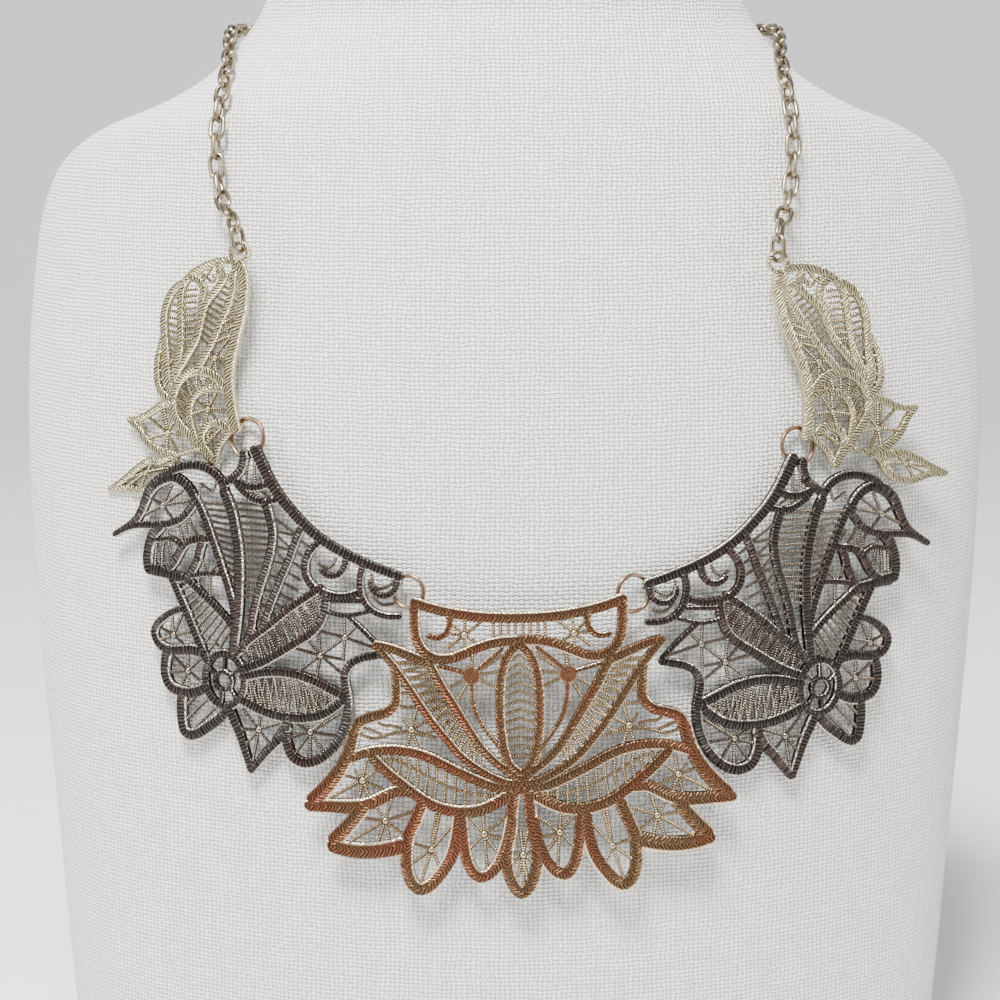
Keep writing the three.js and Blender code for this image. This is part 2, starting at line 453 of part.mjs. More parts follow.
const outward = (name) => new THREE.Vector3(0, 0, 1)
  .transformDirection(placingMatrix(PLACINGS[name]));

// a jump ring whose wire runs through both loops
function addRing({ name, ends: [first, next] }) {
  const from = loopCentre(first);
  const to = loopCentre(next);
  const across = to.clone().sub(from);
  const ring = new THREE.TorusGeometry(across.length() / 2, RING_WIRE, 5, 13);
  across.normalize();
  const out = outward(first[0]).add(outward(next[0]));
  out.addScaledVector(across, -out.dot(across)).normalize();
  const up = new THREE.Vector3().crossVectors(out, across);
  addMesh(name, ring, NICKEL()).applyMatrix4(new THREE.Matrix4().makeBasis(across, up, out)
    .setPosition(from.clone().add(to).multiplyScalar(0.5)));
}

// a link is a round wire ring drawn out lengthwise: x along the chain, flat in x and y
function linkSolid(place) {
  const link = new THREE.TorusGeometry(LINK_HALF_WIDTH, LINK_WIRE, 4, 6);
  link.rotateZ(Math.PI / 6);
  moveVertices(link, (p) => { p.x += Math.sign(p.x) * (LINK_HALF_LENGTH - LINK_HALF_WIDTH); });
  return toSolid(link.applyMatrix4(place));
}

// chain from a shoulder plate's cast eye towards the clasp, as the placings of its links
function chainPlacings(hand) {
  const name = `shoulder_plate_${hand}`;
  const { side } = PLACINGS[name];
  const toPlace = placingMatrix(PLACINGS[name]);
  const onEye = (up) => bend(onPlate(name, CAST_EYE.across, CAST_EYE.up + up,
    PLATE_THICKNESS / 2)).applyMatrix4(toPlace);
  const way = CHAIN_WAY.map(([z, turn]) => bustPoint(z, side * THREE.MathUtils.degToRad(turn),
    CHAIN_LIFT));
  const curve = new THREE.CatmullRomCurve3([onEye(0), onEye(EYE_STRAIGHT), ...way], false,
    'centripetal');
  const length = curve.getLength();
  const stops = [];
  for (let at = EYE_INSET + LINK_HALF_LENGTH; at < length - LINK_HALF_LENGTH;) {
    stops.push(at);
    at += stops.length === FRONT_LINKS ? JOIN_PITCH : LINK_PITCH;
  }
  return stops.map((at, i) => {
    const near = curve.getPointAt((at - LINK_HALF_LENGTH) / length);
    const far = curve.getPointAt((at + LINK_HALF_LENGTH) / length);
    const centre = near.clone().add(far).multiplyScalar(0.5);
    const along = far.sub(near).normalize();
    const inward = new THREE.Vector3(0, CHAIN_AXIS_Y, centre.z).sub(centre);
    const across = new THREE.Vector3().crossVectors(inward, along).normalize();
    const out = new THREE.Vector3().crossVectors(along, across);
    const endTwist = END_TWISTS[stops.length - 1 - i];
    const hold = (stops.length - END_TWISTS.length) % 2 ? -1 : 1;
    const twist = endTwist !== undefined ? hold * endTwist
      : LINK_TWISTS[i] ?? (i % 2 ? LINK_TWIST : -LINK_TWIST);
    return new THREE.Matrix4().makeBasis(along, across, out).setPosition(centre)
      .multiply(new THREE.Matrix4().makeRotationX(THREE.MathUtils.degToRad(twist)));
  });
}

function addChain(hand) {
  const links = chainPlacings(hand);
  const front = links.slice(0, FRONT_LINKS);
  const back = links.slice(FRONT_LINKS);
  addMesh(`chain_${hand}_front`, toGeometry(joinAll(front.map(linkSolid))), NICKEL());
  addMesh(`chain_${hand}_back`, toGeometry(joinAll(back.map(linkSolid))), NICKEL());
  return new THREE.Vector3(LINK_HALF_LENGTH + EYE_INSET, 0, 0).applyMatrix4(links.at(-1));
}

// a flat tag with a hole for each end link
function addClasp(leftHole, rightHole) {
  const along = rightHole.clone().sub(leftHole);
  const reach = along.length() / 2;
  const tag = new THREE.Shape();
  tag.absarc(reach, 0, CLASP_HALF_WIDTH, -Math.PI / 2, Math.PI / 2);
  tag.absarc(-reach, 0, CLASP_HALF_WIDTH, Math.PI / 2, 3 * Math.PI / 2);
  tag.holes = [-reach, reach].map((x) => new THREE.Path().absarc(x, 0, CLASP_HOLE, 0, 2 * Math.PI));
  const geometry = new THREE.ExtrudeGeometry(tag, {
    depth: CLASP_THICKNESS, bevelEnabled: false, curveSegments: 8,
  }).translate(0, 0, -CLASP_THICKNESS / 2);
  along.normalize();
  const out = new THREE.Vector3(0, 1, 0).addScaledVector(along, -along.y).normalize();
  const up = new THREE.Vector3().crossVectors(out, along);
  addMesh('clasp', toGeometry(toSolid(geometry)), NICKEL())
    .applyMatrix4(new THREE.Matrix4().makeBasis(along, up, out)
      .setPosition(leftHole.clone().add(rightHole).multiplyScalar(0.5)));
}

const drawRibs = (ribs, { side, scale }) => ribs.map((rib) => ribSolid(rib, side, scale));

addMesh('neck_bust', bustGeometry(), LINEN());

addPlate('centre_plate', [
  ...drawRibs([COLLAR_BAR, ...CENTRE_HALF], PLACINGS.centre_plate),
  ...drawRibs(CENTRE_HALF, { side: -1, scale: PLACINGS.centre_plate.scale }),
  ...CENTRE_DISCS.map(discSolid),
], COPPER());

for (const hand of ['left', 'right']) {
  const side = PLACINGS[`side_plate_${hand}`];
  const shoulder = PLACINGS[`shoulder_plate_${hand}`];
  addPlate(`side_plate_${hand}`,
    [...drawRibs(SIDE_RIBS, side), ovalRing(HUB, side), ovalRing(HUB_EYE, side)], GUNMETAL());
  addPlate(`shoulder_plate_${hand}`,
    [...drawRibs(SHOULDER_RIBS, shoulder), ovalRing(CAST_EYE, shoulder)], PALE_GOLD());
}
RINGS.forEach(addRing);
addClasp(...['left', 'right'].map(addChain));

export default necklace;
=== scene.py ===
"""Bib necklace on a linen-covered neck bust: the finished surfaces around its CAD solids.

Sizes are in millimetres and become metres when a mesh is made. +Z is up and -Y is the front.
Every plate is drawn flat, in its own plane, as [across, up] points. It is then bent about an
upright axis and placed on the chest.
"""

import logging
from dataclasses import dataclass, field
from enum import Enum, auto
from typing import Optional, Union

import bpy
import numpy as np
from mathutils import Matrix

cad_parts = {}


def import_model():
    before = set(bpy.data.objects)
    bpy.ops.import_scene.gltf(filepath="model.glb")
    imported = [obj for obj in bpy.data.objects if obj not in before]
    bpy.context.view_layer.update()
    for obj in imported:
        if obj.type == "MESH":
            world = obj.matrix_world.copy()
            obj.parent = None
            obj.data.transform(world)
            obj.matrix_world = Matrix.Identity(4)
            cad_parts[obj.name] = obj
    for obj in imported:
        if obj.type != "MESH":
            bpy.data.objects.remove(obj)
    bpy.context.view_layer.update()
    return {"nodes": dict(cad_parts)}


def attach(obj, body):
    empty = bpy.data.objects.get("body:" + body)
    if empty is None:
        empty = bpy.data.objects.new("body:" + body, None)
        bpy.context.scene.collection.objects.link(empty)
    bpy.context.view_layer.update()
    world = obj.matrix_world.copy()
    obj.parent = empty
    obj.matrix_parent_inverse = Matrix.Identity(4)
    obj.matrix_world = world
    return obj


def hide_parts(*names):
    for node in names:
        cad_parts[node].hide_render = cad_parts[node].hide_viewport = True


Array = np.ndarray
Point = tuple[float, float]
RibTable = tuple[tuple[float, float, tuple[Point, ...]], ...]
LOG = logging.getLogger("bib_necklace")

METRES = 0.001
PLATE_THICKNESS = 1.3
PLATE_BEND = 172.0
CHEST_RADIUS = 170.0
CHEST_FRONT_Y = -50.0
CHEST_DATUM_Z = 120.0
CHEST_LEAN = float(np.tan(np.radians(4.0)))
CHEST_CURL_Z = 140.0
CHEST_CURL_RADIUS = 250.0
CROWN_HEIGHT = 1.27
THREAD_STEP = 0.14
BEAD_PITCH = 0.56

# A rib table holds ribs: width at the start, width at the end, points of the middle line.
CENTRE_HALF: RibTable = (
    (1.8, 1.7, ((-21.7, 40.2), (-21.8, 36.2), (-21.4, 32.4), (-20, 29.8), (-17.4, 28.3),
        (-14.4, 28.3), (-11.5, 29.4), (-8.5, 30.7), (-4.5, 31.8), (0.4, 32.1))),
    (1.4, 0.9, ((-14.6, 38.6), (-14.3, 35.8), (-15.2, 33.6), (-17, 32.6), (-19.2, 33))),
    (1.5, 1.9, ((-30.4, 31.2), (-27, 30.4), (-23.6, 29.1), (-20.5, 27.8), (-18.2, 27.2))),
    (1.4, 1.4, ((-30.4, 31.2), (-27.6, 28), (-24.2, 23.2), (-21, 18.1), (-18.3, 14),
        (-15.5, 10.4), (-12.4, 6.7), (-8.3, 3.5), (-3.7, 1.1), (0, 0.4))),
    (1.7, 1.4, ((-19.4, 28.3), (-17.8, 25), (-16, 21.5), (-14.2, 18.5), (-12.4, 15.4),
        (-10.5, 12.2), (-8.3, 8.7), (-5.5, 5.6), (-2.8, 3.4), (0, 1))),
    (1.6, 2, ((-26.3, 26.8), (-26, 23.5), (-25.9, 20.5), (-26.3, 18), (-28, 16.2), (-31, 15.2),
        (-33.8, 14), (-35.2, 11.8))),
    (2.1, 3.1, ((-35, 12.6), (-36.2, 8), (-37.6, 4.7), (-39.5, 1.7), (-42.1, -1.5), (-45.1, -4.6))),
    (2.2, 2.6, ((-46.2, -5), (-41.5, -4.9), (-37.5, -4.9), (-33.6, -4.6))),
    (2.4, 1.9, ((-35, -4.9), (-31.5, -3.6), (-29, -2.2), (-26.5, -1.1), (-23.6, -1.2))),
    (2.4, 2.8, ((-33.2, -4.6), (-35.6, -7.6), (-38, -10.4), (-40.6, -13.2))),
    (2.6, 2.9, ((-41.2, -13.7), (-37.5, -14.5), (-33.5, -14.7), (-29.5, -14.2), (-25, -13))),
    (1.8, 1.8, ((-36.4, 6), (-33, 7.3), (-29.2, 8), (-25.5, 8), (-21.9, 7.4), (-18.6, 6.2),
        (-14.6, 4.1), (-10.1, 1.9), (-5.5, 0), (0, -0.6))),
    (1.9, 2.2, ((-31.7, 6.6), (-28.3, 3.1), (-25.3, 0.6), (-22.4, -1.7), (-19, -3.9),
        (-15.5, -5.1), (-11.9, -5.5), (-8.3, -4.9), (-4.8, -3.2), (-1, -0.6))),
    (2.2, 2.2, ((-20.8, -3.6), (-22.6, -8), (-24.1, -11.6), (-24.5, -15.5), (-24.3, -19.4),
        (-23.2, -22), (-21.6, -22.9), (-19.8, -22), (-17.2, -19), (-15.2, -15.6), (-14.1, -11.8),
        (-13.5, -8), (-13.2, -5))),
    (2, 2, ((-12.8, -5), (-12.4, -10), (-12, -14.4), (-11, -18), (-9.3, -20), (-7.4, -19.6),
        (-5.4, -17.4), (-4, -14.4), (-3, -11), (-2.2, -7))),
    (2, 2.2, ((-1.2, 0), (-1.9, -5), (-2.2, -9.5), (-3, -13.5), (-3.2, -17), (-2.6, -20.2),
        (-1.3, -22.9), (0.4, -24.2))),
    (1.5, 1.7, ((0.3, 31.2), (-1.6, 29.8), (-2.9, 27.4), (-3.7, 24.5), (-4.1, 21), (-4.2, 16.7),
        (-4, 12.2), (-3.4, 7.8), (-2.2, 4.6), (0.2, 2.4))),
    (0.7, 0.7, ((-10, 23.4), (-9.8, 18.6), (-8.6, 14.8), (-6.4, 11.2), (-4, 8))),
    (0.7, 0.7, ((-9.4, 25.4), (-3.4, 30.6))),
    (0.7, 0.7, ((-11.4, 25), (-17, 26.6))),
)
SIDE_RIBS: RibTable = (
    (1.7, 2.3, ((-40.9, 26.3), (-37.4, 27.3), (-33.5, 28.6), (-29.7, 30), (-25.8, 31.8),
        (-22.4, 33.7), (-19.3, 36), (-16.2, 38.9), (-13.5, 41.7), (-11.2, 44.8), (-9.5, 47.8),
        (-7.2, 52.2))),
    (1.4, 1, ((-40.1, 26.2), (-39.6, 23.8), (-37.8, 22.2), (-35.8, 22.2), (-34.4, 23.4),
        (-34, 25.2))),
    (1.4, 1.1, ((-32.5, 28.6), (-31.8, 25.4), (-32.1, 22.4), (-33.4, 19.8), (-35.6, 18.3),
        (-38.2, 17.8), (-40.8, 17.9))),
    (1.5, 1.1, ((-28.8, 30.1), (-28.1, 27.5), (-26.6, 25.9), (-24.6, 25.7), (-22.8, 26.9))),
    (1.5, 1.5, ((-22.8, 33.3), (-20.4, 30.6), (-19.4, 28), (-19.6, 25.4), (-21, 23.3),
        (-23.6, 22), (-26.6, 21.4), (-29.4, 21.7), (-32.2, 22.8))),
    (0.8, 0.8, ((-32.4, 20.6), (-23.6, 20.2))),
    (0.8, 0.8, ((-34.2, 18.6), (-28.5, 17.2), (-23.6, 17.8))),
    (0.9, 0.9, ((-29, 17.4), (-33.8, 13.2), (-37.5, 9.5))),
    (1.5, 2.2, ((-37.7, 9.3), (-35, 8.8), (-32.3, 8.1), (-29.9, 6.7), (-28.7, 4.4), (-28.8, 2),
        (-29.3, -0.6), (-29.4, -3.4), (-28.9, -6.6), (-27.4, -10.3), (-25, -13.4),
        (-22.2, -15.5), (-19.2, -16.2), (-16.8, -15.2), (-15.4, -12.6), (-15, -9.6), (-15.4, -6.2))),
    (2.4, 1.4, ((-15.4, -8.2), (-13.6, -11.2), (-11.4, -13.6), (-9.3, -16.2), (-6.8, -19.4))),
    (1.4, 2.2, ((-6.8, -19.4), (-5.5, -15.6), (-4.2, -12), (-2.6, -8.6), (-0.9, -5.4))),
    (1.8, 1.8, ((-28.9, -0.8), (-24.9, 0.9), (-21.5, 2.3), (-18, 3.2), (-14, 3.5), (-10, 3.1),
        (-4.4, 1.6))),
    (1.8, 2, ((-28.9, -0.8), (-26, -3.4), (-23.2, -5.2), (-19.8, -6.1), (-16.5, -6.4),
        (-12.7, -6.2), (-8.9, -5.3), (-4, -3.4))),
    (1.6, 1.7, ((-23.2, 23), (-20.3, 21.1), (-15.5, 17.6), (-10.8, 13.6), (-6.5, 10.2), (-3, 6.6))),
    (1.6, 2, ((-24.4, 22.2), (-24, 18.5), (-22.9, 15.4), (-20.6, 12.7), (-16.5, 9.9),
        (-12.7, 7.4), (-9, 5.2), (-4, 3))),
    (2, 2, ((0.2, 42.6), (-1.7, 38.6), (-2.6, 35.2), (-3.3, 31.8), (-3.7, 28.3), (-3.8, 24.8),
        (-3.7, 21.2), (-3.6, 17.8), (-3.3, 14.4), (-2.8, 10.6), (-2.2, 5.8))),
    (1.5, 1.5, ((9.4, 42.8), (6.4, 39), (4.9, 36.3), (3.6, 33.4), (2.4, 30.4), (1.2, 27.4),
        (0, 24.2), (-1.1, 21.2), (-2.1, 18), (-2.8, 14))),
    (1.7, 1.5, ((-9.8, 41), (-11, 37.6), (-11.7, 34), (-11.3, 30.2), (-10.3, 26.4), (-9, 22.6),
        (-7.9, 18.8), (-7.1, 15), (-6.6, 12.2), (-4.8, 7.6))),
    (1.5, 1.5, ((-18.8, 36.4), (-17, 32.4), (-15.4, 28), (-13.7, 24.2), (-12.4, 21), (-11.2, 18),
        (-9.4, 13))),
    (1.7, 1.7, ((-4.9, 51.3), (-4.8, 49), (-4.1, 47.2), (-2.6, 45.6), (0.4, 43.6))),
    (1.5, 1.5, ((-11.2, 44.9), (-8.4, 43.8), (-5.6, 43.6), (-3, 44.5), (-1.4, 45))),
    (1.3, 1.3, ((-13.4, 41.6), (-10.2, 40.7), (-7.4, 41), (-5.2, 42.2), (-3, 44))),
    (1.7, 1.7, ((-0.6, 40.2), (0.2, 43.4), (1.6, 45.3), (3.8, 46.6), (6.6, 47.2), (9.6, 46.9),
        (12.4, 46), (15.2, 44.4))),
    (1.8, 2, ((7, 39), (8.4, 41.6), (10.4, 43.3), (12.4, 44.1), (15.2, 43.8))),
    (2.5, 1.2, ((14.2, 44.2), (17, 42.8), (19, 40.9), (20.3, 38.5), (21.4, 36.2), (22.8, 34.1),
        (25, 32.3), (29.4, 29.7))),
    (1.6, 1.4, ((6.6, 40), (8.6, 37.4), (10.6, 35.4), (13.4, 34), (16.6, 33.2), (20, 32.9),
        (23.6, 32.4), (27, 31.2))),
    (1.6, 1.8, ((3, 31.8), (5.4, 31.1), (7.2, 30.9), (9, 30.3), (10.4, 29.1), (11.4, 27.5),
        (12.4, 25.9), (13.5, 24.5), (15.2, 23.2))),
    (1.7, 1.6, ((5.2, 31.2), (6, 28.8), (6.5, 27), (7.3, 25.1), (8.4, 23.3), (10.2, 20.8))),
    (1.7, 2.8, ((9, 22), (12.6, 22.2), (15, 22.7), (18.8, 23.1))),
    (2.2, 2.4, ((16, 33.3), (18, 31.4), (19, 29.4), (19.6, 27.2), (19.8, 25), (19.3, 22.6))),
    (0.9, 0.9, ((10.6, 29.3), (13.8, 30.6), (16, 30.1), (19, 30))),
    (1.4, 1.5, ((-3, 11.4), (-0.6, 14.2), (1.4, 16), (3.4, 17.6), (5.8, 19.3), (9, 21.8))),
    (1.7, 1.7, ((13.6, 22.4), (12, 19.4), (10.6, 16.8), (9.2, 14.2), (7.8, 11.4), (6.4, 8.6),
        (4, 4))),
    (1, 1, ((0, 24), (4.2, 23.7), (8.4, 22.8))),
    (1.3, 2.1, ((9.4, 15.4), (12.8, 14.3), (15.4, 12.7), (17.4, 10.8), (18.1, 8.8), (17, 6.7),
        (14.6, 5.7), (11.6, 5.9), (8.4, 6.4), (4.6, 6))),
    (2.1, 2.1, ((14.2, 6), (15.1, 2.8), (15.1, -0.4), (13.8, -2.6), (11.4, -3.4), (8.6, -3.4),
        (6.2, -2.6), (4, -1.4))),
    (2.2, 2, ((10.6, -3), (10.9, -7), (10.7, -10), (10.1, -12.3), (8.7, -13), (6.8, -12.4),
        (4.2, -10.6), (1.4, -8.4), (-1.4, -5.4))),
    (0.6, 0.6, ((0, 2), (-0.2, 6.4))),
    (0.6, 0.6, ((-1.6, 1.4), (-4.4, 4))),
    (0.6, 0.6, ((-1.6, -1.2), (-3.4, -4))),
    (0.6, 0.6, ((0.4, -2), (0.6, -5.4))),
    (0.6, 0.6, ((1.9, 1.2), (4.2, 3.2))),
)
SHOULDER_RIBS: RibTable = (
    (2.2, 2.3, ((-12.6, 37.4), (-13.3, 34.6), (-13.2, 32), (-12.6, 29.6), (-12, 27), (-11, 24.6),
        (-9.9, 22.2), (-8.9, 19.8), (-7.8, 17.2), (-6.9, 14.6), (-6.3, 12), (-6.1, 9), (-6.1, 6),
        (-6.3, 3), (-6.8, 0.4))),
    (1.7, 1.5, ((-13, 36.4), (-11.2, 37.9), (-8.8, 38.3), (-5.6, 38.1), (-2.6, 37.4), (0, 36.4),
        (2.8, 34.4))),
    (1.5, 1.6, ((-12, 37.4), (-10.8, 34.2), (-10.2, 31.6), (-9.2, 29.4), (-7.8, 27.2),
        (-6.3, 25.2), (-4.9, 22.9), (-3.3, 20.8), (-1.7, 18.8), (0, 17), (2.4, 14.4))),
    (1.2, 1.2, ((-7.6, 38.4), (-7.3, 35.8), (-8.6, 34.4))),
    (1, 1, ((-11, 34.2), (-8.2, 35.2), (-5.6, 35))),
    (1.6, 1.6, ((-8.8, 34.8), (-6.4, 32.4), (-4.2, 30.7), (-2.4, 28.8), (-1.2, 26.4), (-0.2, 24),
        (1.1, 21.6), (3, 19.5), (5, 17.4), (7, 15.4), (8.6, 13.4))),
    (1.6, 1.4, ((0.8, 36.2), (-2, 34.4), (-2.6, 32.4), (-1.8, 30.4), (-1, 26.6))),
    (1.6, 1.6, ((2, 35.2), (3.4, 33), (4, 30.4), (4.4, 27.8), (4.8, 25.2), (5.2, 22.6),
        (5.8, 20), (6.8, 17.6), (8.8, 14.4))),
    (1.6, 1.9, ((1.6, 35), (4.8, 33.9), (6.8, 32.2), (8.3, 30), (9.2, 27.6), (9.6, 25),
        (9.8, 22.4), (9.9, 19.8), (10.2, 17), (10.4, 14), (9.4, 9.6))),
    (1, 1.7, ((9.8, 24), (11.6, 20.8), (12.6, 18.2), (13.2, 15.6), (13.3, 13), (12.5, 11),
        (9.8, 8.8))),
    (1.7, 2, ((-5.4, 9.6), (-3.8, 12.3), (-1.8, 13.9), (0.6, 14.7), (3.2, 14.7), (5.8, 13.8),
        (7.9, 12.1), (9.2, 9.9), (9.8, 7.4), (9.5, 5), (8.2, 2.9), (6.2, 0.7), (4.4, -1.4),
        (2.5, -3.5), (0.2, -6.2))),
    (1.4, 1.4, ((-6, 9.8), (-3, 10.4), (-0.4, 10.5), (2, 9.9), (4, 8.4), (5.2, 6.2), (5.4, 3.8),
        (5, 1.6), (4.2, -1.6))),
    (1.6, 1.8, ((-6.8, 0.6), (-4.4, 1), (-3.4, 2.1), (-1.8, 2.8), (0.2, 2.6), (2, 1.4),
        (2.9, -0.4), (2.7, -2.2), (1.6, -4), (0.2, -6.2))),
    (1.3, 1.3, ((-5.2, 1.2), (-3.6, -0.8), (-2, -2.2), (-0.9, -3.8), (0, -6))),
    (0.6, 0.6, ((-3, 1.6), (1.8, -1.6))),
    (1.8, 1.2, ((8.8, 8.4), (12.6, 8.2), (15.4, 7.2), (18, 6.2), (20.6, 5.7), (23.6, 5.7))),
    (1.2, 2.2, ((23.4, 5.8), (20.8, 3.4), (19.4, 1.2), (17.6, -0.8), (15.2, -2.3), (12.6, -3.4),
        (10.4, -4))),
    (1.1, 1.1, ((3, -2.6), (7.4, -3.1), (12, -3.8))),
    (1.6, 1.3, ((12.4, -4), (15.8, -4.5), (18.4, -4.2), (21, -4.9), (24, -6.2), (27.2, -7.8),
        (32.4, -10))),
    (2, 1.2, ((11.4, -3.4), (13.4, -5.8), (14.6, -7.9), (16.4, -9.5), (18.8, -10.5),
        (21.4, -10.9), (24, -10.5), (27, -9.9), (32.4, -10))),
)
COLLAR_BAR: RibTable = (
    (1.8, 1.8, ((-22.2, 40.6), (-18.5, 39.3), (-14, 38.2), (-8, 37.3), (0, 37), (8, 37.3),
        (14, 38.2), (18.5, 39.3), (22.2, 40.6))),
)


class Hand(Enum):
    """Which side of the chest a plate hangs on; the value mirrors its drawing."""

    LEFT = -1
    RIGHT = 1


@dataclass(frozen=True)
class Star:
    """Threads that run out from a ball: its place and the far end of each thread."""

    centre: Point
    ends: tuple[Point, ...]
    ball: float = 0.72


@dataclass(frozen=True)
class Ladder:
    """Rungs between two lines.

    zigzag joins the rungs into one thread that goes to and fro; slanted leads each rung to the
    next stop of the second line.
    """

    first: tuple[Point, ...]
    second: tuple[Point, ...]
    rungs: int
    zigzag: bool = False
    slanted: bool = False


Thread = tuple[Point, ...]

CENTRE_STARS: tuple[Star, ...] = (
    Star((-11.45, 33.3), ((-11.2, 36.8), (-14.2, 35.9), (-7.4, 36.6), (-14.4, 33.5),
        (-15.1, 30.4), (-11.5, 29.8), (-8.4, 31.2))),
    Star((-10.1, 24.5), ((-3.7, 29.9), (-3.4, 28.9), (-3.5, 25.4), (-4.4, 21.6), (-14.6, 22.0),
        (-12.9, 19.4), (-16, 26.3), (-9.7, 30.2)), 0.4),
    Star((-23, 12.6), ((-21.6, 17.6), (-24.9, 15.2), (-19.4, 14.6), (-17.6, 10.6),
        (-21.4, 7.8), (-24.2, 7.9))),
    Star((-33.7, 1.05), ((-35.6, 3.4), (-32.8, 5.6), (-30.6, 3.4), (-28.6, -1.2), (-32.0, -3.8),
        (-34.8, -4.2), (-41, -3.2), (-38.2, 2.2))),
    Star((-29, -7.8), ((-21.5, -5.0), (-27.6, -3.0), (-31.2, -4.4), (-34.4, -7.4),
        (-37.0, -13.0), (-31.0, -13.6), (-28.0, -13.2), (-24.6, -11.2))),
    Star((-19.2, -14), ((-18.0, -5.6), (-17.2, -5.6), (-23.4, -12.6), (-23.4, -17.2),
        (-21.6, -21.4), (-17.4, -18.2), (-14.4, -8.3))),
    Star((-8, -10.5), ((-11.6, -6.0), (-8.3, -5.2), (-3.0, -6.6), (-3.8, -11.6), (-5.0, -15.2),
        (-7.4, -18.8), (-11.2, -14.0))),
)
CENTRE_THREADS: tuple[Thread, ...] = (
    ((-9.9, 22.2), (-9.9, 18.5), (-8.7, 14.9), (-6.2, 11.3), (-4.2, 7.6)),
    ((-34.2, 11.3), (-31, 10.4), (-27.4, 11.5), (-23.7, 12.2)),
    ((-34.4, 12.9), (-32, 12.4), (-29.2, 11.3)),
    ((-30.4, 14.6), (-29.2, 13.5), (-27, 13.3), (-25, 12.8)),
    ((-29.6, 5.8), (-26.5, 5.8), (-23.7, 4.5), (-19.2, 2), (-14.6, -0.3), (-10, -1.5),
        (-5.5, -1.9), (-1.5, -0.8)),
    ((-25.6, 20.5), (-23.8, 20.6), (-22.4, 20.4)),
    ((-25.9, 18.0), (-24.0, 17.4), (-21.0, 17.9)),
    ((-26.0, 23.4), (-24.6, 23.6)),
    ((-17.6, 12.9), (-20.6, 11.3), (-23, 12.6)),
)
CENTRE_LADDERS: tuple[Ladder, ...] = (
    Ladder(((-27.6, 28), (-24.2, 23.2), (-21, 18.1), (-18.3, 14), (-15.5, 10.4), (-12.4, 6.7),
        (-8.3, 3.5)), ((-19.2, 27.9), (-17.8, 25), (-16, 21.5), (-14.2, 18.5), (-12.4, 15.4),
        (-10.5, 12.2), (-8.3, 8.7)), 30, True),
    Ladder(((0, 29), (0, 5)), ((-2.9, 28.4), (-3.7, 24.5), (-4.2, 16.7), (-4, 12.2),
        (-2.6, 6.4)), 13, False, True),
    Ladder(((-29.6, 5.8), (-26.5, 5.8), (-23.7, 4.5), (-19.2, 2), (-14.6, -0.3), (-10, -1.5),
        (-5.5, -1.9)), ((-31, 7.6), (-25.5, 8), (-18.6, 6.2), (-10.1, 1.9), (-5.5, 0)), 13),
    Ladder(((-29.6, 5.8), (-26.5, 5.8), (-23.7, 4.5), (-19.2, 2), (-14.6, -0.3), (-10, -1.5),
        (-5.5, -1.9)), ((-29.6, 4.4), (-25.3, 0.6), (-19, -3.9), (-11.9, -5.5), (-5.4, -3.6)),
        13),
)
COLLAR_THREADS: tuple[Thread, ...] = tuple(
    ((u, 32.2), (u, 37.0)) for u in (0.8, 2.3, 3.9, 5.4))
LOBE_STAR = Star((0.2, -15.3), ((-0.3, -9.6), (1.3, -9.2), (2.6, -14.6), (-2.6, -14.6),
    (2.7, -17.4), (-2.7, -17.4), (0.9, -20.2), (-0.9, -20.2), (0.2, -22.6)), 0.8)

SIDE_STARS: tuple[Star, ...] = (
    Star((-28.5, 12.5), ((-22, 13.6), (-36.0, 10.4), (-31.4, 15.4), (-28.2, 7.2),
        (-28.2, 17.2), (-23, 8.1))),
    Star((-23, 8.1), ((-19.8, 11.6), (-16.0, 9.4), (-17.8, 4.0), (-22, 2.3), (-27.8, 4.6),
        (-28.2, 7.6), (-22.4, 13.6))),
    Star((-20.8, -9.1), ((-26.6, -9.4), (-17.4, -7.4), (-15.8, -10.8), (-17.2, -14.6),
        (-20.8, -15.2), (-24.0, -13.6), (-27.6, -4.4), (-26.8, -3.8), (-19.4, -6.4))),
    Star((-8.6, -9.8), ((-14.2, -7.6), (-9.0, -5.8), (-4.6, -5.4), (-4.2, -10.2),
        (-5.6, -13.4), (-7.2, -17.0), (-11.4, -13.0))),
    Star((15.7, 37.7), ((8.8, 39.4), (9.4, 42.2), (13.2, 42.6), (19.4, 39.2), (21.0, 35.0),
        (12.8, 34.6)), 0.8),
    Star((13, 9), ((10.4, 14.4), (13.4, 13.4), (16.8, 10.4), (17.0, 7.2), (9.4, 6.6),
        (7.2, 10.6))),
    Star((9.2, 1.4), ((13.4, 4.4), (14.4, 0.4), (11.2, -2.6), (8.6, -2.8), (5.8, -0.6),
        (6.0, 4.4), (9.2, 5.6))),
)
SIDE_THREADS: tuple[Thread, ...] = (
    ((9.2, 36.2), (8.2, 34), (6.4, 31.6)), ((10.0, 35.6), (9.6, 33), (9.2, 31.0)),
    ((11.8, 34.6), (10.8, 32), (10.6, 30.0)), ((14.8, 33.4), (14.4, 31), (13.8, 27.8),
        (13.0, 25.6)), ((15.2, 30.4), (15.8, 28), (16.1, 24.0)), ((17.4, 30.4), (17.9, 24.2)),
    ((3.5, 23.4), (3.5, 18.2)), ((1.4, 26.2), (4.3, 23.9), (5.7, 27.2)),
    ((6.4, 23.0), (6.4, 20.4)), ((2.4, -6.4), (7.6, -11.4)), ((4.4, -4.6), (9.8, -10.0)),
    ((6.4, -3.4), (10.4, -7.4)), ((-39.3, 25.4), (-37.8, 24.2), (-35.8, 23.6), (-34.7, 24.4),
        (-34.3, 26.8)), ((-26.4, 29.8), (-25.5, 28.1), (-23.9, 27.3), (-22.2, 28.3)),
    ((-39.4, 20.6), (-36.6, 20.2), (-34.6, 22.0)), ((0.4, 7.2), (2.6, 8.8)),
)
